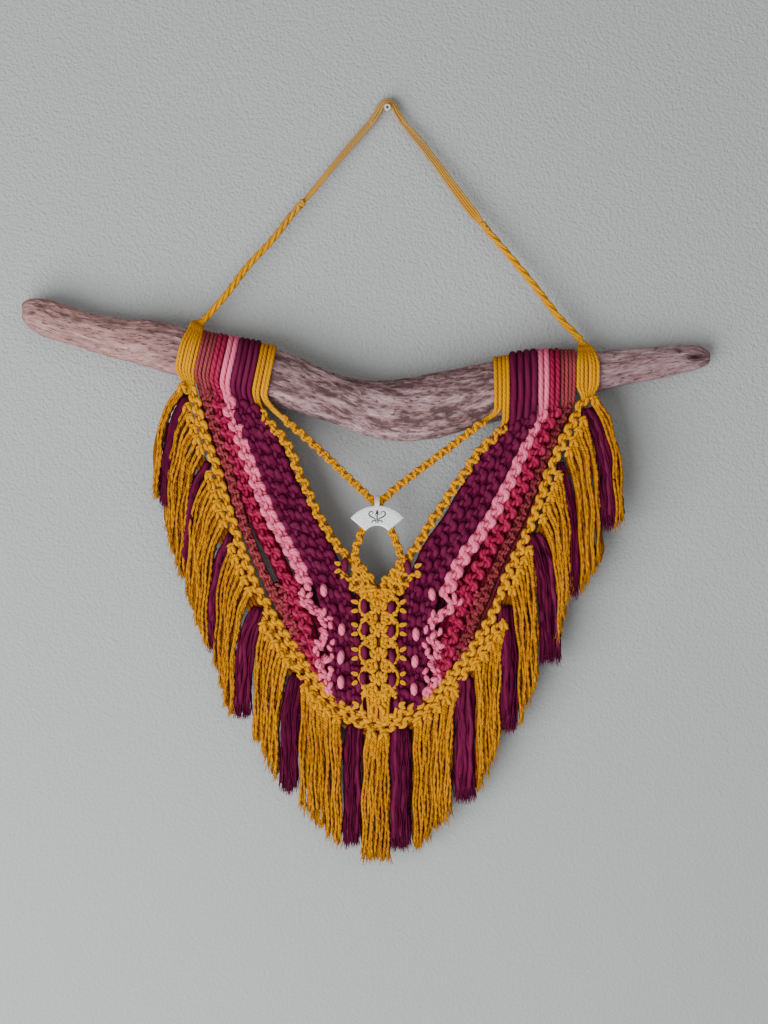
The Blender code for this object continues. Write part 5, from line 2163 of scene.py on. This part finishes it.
@dataclass(frozen=True)
class CharmSize:
    """The fan charm: radii, the Y of its faces, and its bail, in metres."""

    x: float = -8.2 * MM
    centre: float = -349.5 * MM
    outer: float = 27.5 * MM
    inner: float = 11.7 * MM
    half_angle: float = math.radians(50)
    front: float = -50.0 * MM
    back: float = -48.2 * MM
    rings: int = 6
    bail_top: float = -313.4 * MM
    bail_bottom: float = -329.5 * MM
    bail_width: float = 4.6 * MM
    bail_depth: float = 18.6 * MM
    bail_y: float = -40.4 * MM
    bail_metal: float = 0.9 * MM


# Lines of the ornament, in millimetres from the fan's pivot.
SCROLLS = (
    ((-1.0, 14.0), (-1.6, 17.0), (-4.6, 18.6), (-6.6, 20.6), (-5.4, 22.8), (-3.2, 22.2), (-3.6, 20.6)),
    ((1.0, 14.0), (1.6, 17.0), (4.6, 18.6), (6.6, 20.6), (5.4, 22.8), (3.2, 22.2), (3.6, 20.6)),
    ((0.0, 13.6), (0.0, 18.0), (0.0, 22.4)),
    ((-1.6, 15.6), (-3.6, 15.2), (-4.4, 13.8)),
    ((1.6, 15.6), (3.6, 15.2), (4.4, 13.8)),
    ((-1.8, 19.8), (-0.8, 21.2), (0.0, 23.6), (0.8, 21.2), (1.8, 19.8)),
)


@dataclass
class Charm:
    """A flat silver fan with a scroll ornament, on a bail round the straps."""

    assembly: Assembly
    size: CharmSize

    def _plate(self) -> bpy.types.Object:
        """Grows a ring from a circle, cuts the fan out of it and gives it thickness and a soft rim.

        Returns:
            The plate, active.
        """
        size = self.size
        middle = Vector((size.x, size.back, size.centre))
        bpy.ops.mesh.primitive_circle_add(
            vertices=90, radius=size.inner, fill_type="NOTHING", location=middle, rotation=(math.pi / 2, 0, 0)
        )
        plate = take_up("fan_plate")
        grow = (size.outer / size.inner) ** (1 / size.rings)
        for _ in range(size.rings):
            bpy.ops.mesh.extrude_edges_move()
            bpy.ops.transform.resize(value=(grow, 1.0, grow), center_override=middle)
        for way in (-1, 1):
            bpy.ops.mesh.select_all(action="SELECT")
            across = Vector((way * math.cos(size.half_angle), 0.0, -math.sin(size.half_angle)))
            bpy.ops.mesh.bisect(plane_co=middle, plane_no=across, clear_outer=True)
        bpy.ops.mesh.select_all(action="SELECT")
        bpy.ops.mesh.extrude_region_move()
        bpy.ops.transform.translate(value=(0.0, size.front - size.back, 0.0))
        bpy.ops.mesh.select_all(action="SELECT")
        bpy.ops.mesh.normals_make_consistent(inside=False)
        bpy.ops.object.mode_set(mode="OBJECT")
        soften(plate, 0.4 * MM, 2)
        return plate

    def _bail(self) -> bpy.types.Object:
        """Makes the flat band of the bail, which narrows towards the plate.

        Returns:
            The bail, active.
        """
        size = self.size
        high = size.bail_top - size.bail_bottom
        centre = Vector((size.x, size.bail_y, size.bail_top - high / 2))
        bpy.ops.mesh.primitive_cylinder_add(
            vertices=40, radius=0.5, depth=1.0, end_fill_type="NOTHING", rotation=(0, math.pi / 2, 0)
        )
        bail = take_up("charm_bail")
        bpy.ops.transform.resize(value=(size.bail_width, size.bail_depth, high), center_override=(0, 0, 0))
        bpy.ops.transform.translate(value=centre)
        bpy.ops.mesh.normals_make_consistent(inside=False)
        bpy.ops.object.mode_set(mode="OBJECT")
        for vert in bail.data.vertices:
            drop = (size.bail_top - vert.co.z) / high
            vert.co.x = size.x + (vert.co.x - size.x) * (1.0 - 0.4 * drop)
        band = bail.modifiers.new("band", "SOLIDIFY")
        band.thickness = size.bail_metal
        band.offset = -1.0
        bpy.ops.object.modifier_apply(modifier=band.name)
        soften(bail, 0.2 * MM, 1)
        return bail

    def _scrolls(self) -> CordMesh:
        """Lays the scroll ornament as raised dark lines.

        Returns:
            The lines' mesh, not made yet.
        """
        size = self.size
        mesh = CordMesh(Yarn(Tint.PLUM, 0.5 * MM, plies=1, crease=0.0, sides=6), SEED + 90)
        for points in SCROLLS:
            path = [(size.x + x * MM, size.front - 0.05 * MM, size.centre + z * MM) for x, z in points]
            route = Route(np.array(path))
            t = np.linspace(0, 1, 40)
            mesh.run(route.at(t * route.length), (0.28 + 0.30 * np.sin(math.pi * t)) * MM)
        return mesh

    def build(self) -> None:
        """Makes the charm as one piece with two materials."""
        made = self.assembly.materials.made
        plate, bail = self._plate(), self._bail()
        scrolls = self._scrolls().make("charm_scrolls")
        for obj, name in ((plate, "charm_silver"), (bail, "charm_silver"), (scrolls, "charm_dark")):
            obj.data.materials.clear()
            obj.data.materials.append(made[name])
        select_alone(plate)
        bail.select_set(True)
        scrolls.select_set(True)
        bpy.ops.object.join()
        plate.name = "fan_charm_piece"
        bpy.ops.object.shade_smooth_by_angle(angle=math.radians(35))
        self.assembly.place(plate, "charm_silver", "fan_charm")


@dataclass(frozen=True)
class NailSize:
    """The nail, in metres: its shank, the recess in its head and the Y in front of which that lies."""

    shank: float = 1.7 * MM
    length: float = 9.4 * MM
    recess: float = 1.16 * MM
    recess_front: float = -8.0 * MM


# Steps of the nail's head: how much wider its front face gets, and metres by which it comes out.
HEAD_STEPS = ((2.9 / 1.7, 0.0), (1.0, 0.9 * MM), (0.9, 0.5 * MM), (0.45, 0.15 * MM), (0.8, -0.7 * MM))


@dataclass
class Nail:
    """The round-headed nail in the wall."""

    assembly: Assembly
    size: NailSize

    def build(self) -> None:
        """Turns a cylinder into shank, head and recess with face tools."""
        size = self.size
        bpy.ops.mesh.primitive_cylinder_add(
            vertices=32,
            radius=size.shank,
            depth=size.length,
            location=(0, -size.length / 2, 0),
            rotation=(math.pi / 2, 0, 0),
        )
        nail = take_up("round_nail", "DESELECT")
        bm = bmesh.from_edit_mesh(nail.data)
        bm.faces.ensure_lookup_table()
        front = min(bm.faces, key=lambda face: face.calc_center_median().y)
        front.select = True
        bmesh.update_edit_mesh(nail.data)
        for grow, push in HEAD_STEPS:
            bpy.ops.mesh.extrude_region_move(TRANSFORM_OT_translate={"value": (0, -push, 0)})
            bpy.ops.transform.resize(value=(grow, 1, grow), center_override=(0, 0, 0))
        bpy.ops.object.mode_set(mode="OBJECT")
        for name in ("nail_metal", "nail_recess"):
            nail.data.materials.append(self.assembly.materials.made[name])
        for face in nail.data.polygons:
            inner = math.hypot(face.center.x, face.center.z) < size.recess
            face.material_index = int(inner and face.center.y < size.recess_front)
        bpy.ops.object.shade_smooth_by_angle(angle=math.radians(40))
        self.assembly.place(nail, "nail_metal", "wall_nail")


# ---- studio


@dataclass(frozen=True)
class StudioSize:
    """Camera, wall and floor, the plane that the camera frames and the lights' aim, in metres."""

    camera_distance: float = 2.0
    picture_height: float = 1024 * PHOTO_STEP
    plane: float = -30 * MM
    wall: float = 0.6 * MM
    floor: float = -2.6
    aim: tuple[float, float, float] = (0.0, 0.0, -0.33)


# Each light: its name, place, width in metres, power in watts and colour.
LIGHTS = (
    ("key", (-1.25, -1.6, -1.35), 2.2, 96.0, (0.94, 0.975, 1.0)),
    ("fill", (0.6, -2.4, 0.5), 2.2, 8.0, (1.0, 0.96, 0.92)),
)
AIR_COLOUR = (0.93, 0.97, 1.0, 1.0)
AIR_STRENGTH = 0.36


@dataclass
class Studio:
    """Camera, wall, floor and soft light."""

    assembly: Assembly
    size: StudioSize

    def _plane(self, name: str, corners: tuple) -> None:
        """Adds one staged plane.

        Args:
            name: Its name, which is also its material's.
            corners: Its four corners.
        """
        mesh = bpy.data.meshes.new(name)
        mesh.from_pydata([Vector(corner) for corner in corners], [], [(0, 1, 2, 3)])
        mesh.materials.append(self.assembly.materials.made[name])
        add(name, mesh)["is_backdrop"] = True

    def _light(self, name: str, place: tuple, size: float, power: float, colour: tuple) -> None:
        """Adds a square area light that faces the hanging.

        Args:
            name: Its name.
            place: Where it stands.
            size: Its width.
            power: Watts.
            colour: Its colour.
        """
        data = bpy.data.lights.new(name, "AREA")
        data.size = size
        data.energy = power
        data.color = colour
        light = add(name, data)
        light.location = place
        aim = Vector(self.size.aim) - Vector(place)
        light.rotation_euler = aim.to_track_quat("-Z", "Y").to_euler()

    def build(self) -> None:
        """Makes the whole studio."""
        size = self.size
        middle = spot(384, 512)
        data = bpy.data.cameras.new("camera")
        data.sensor_width = 36.0
        data.lens = 36.0 * size.camera_distance / size.picture_height
        camera = add("camera", data)
        camera.location = (middle[0], size.plane - size.camera_distance, middle[2])
        camera.rotation_euler = (math.pi / 2, 0, 0)
        bpy.context.scene.camera = camera
        y, low = size.wall, size.floor
        self._plane("wall", ((-3, y, low), (3, y, low), (3, y, 2.2), (-3, y, 2.2)))
        self._plane("floor", ((-3, -4, low), (3, -4, low), (3, y, low), (-3, y, low)))
        for light in LIGHTS:
            self._light(*light)
        world = bpy.data.worlds.new("studio")
        world.use_nodes = True
        air = world.node_tree.nodes["Background"].inputs
        air["Color"].default_value = AIR_COLOUR
        air["Strength"].default_value = AIR_STRENGTH
        bpy.context.scene.world = world


def main() -> None:
    """Builds every piece and the studio."""
    logging.basicConfig(level=logging.INFO, format="%(message)s")
    assembly = Assembly()
    Studio(assembly, StudioSize()).build()
    branch = Branch(assembly)
    wrapping = Wrapping(branch)
    fan = Fan(assembly, wrapping)
    edging = Edging(assembly, wrapping)
    straps = Straps(assembly, wrapping)
    hanger = Hanger(assembly, branch)
    for i, side in enumerate(SIDES):
        fan.build(side, SEED + 10 * i)
        edging.build(side, SEED + 40 + i)
        straps.build(side, SEED + 44 + i)
        hanger.build(side, SEED + 48 + i)
    hanger.build_loop(SEED + 52)
    Column(assembly, ColumnSize()).build()
    Fringe(assembly, edging).build(SEED + 100)
    branch.build()
    Charm(assembly, CharmSize()).build()
    Nail(assembly, NailSize()).build()


if __name__ == "__main__":
    main()
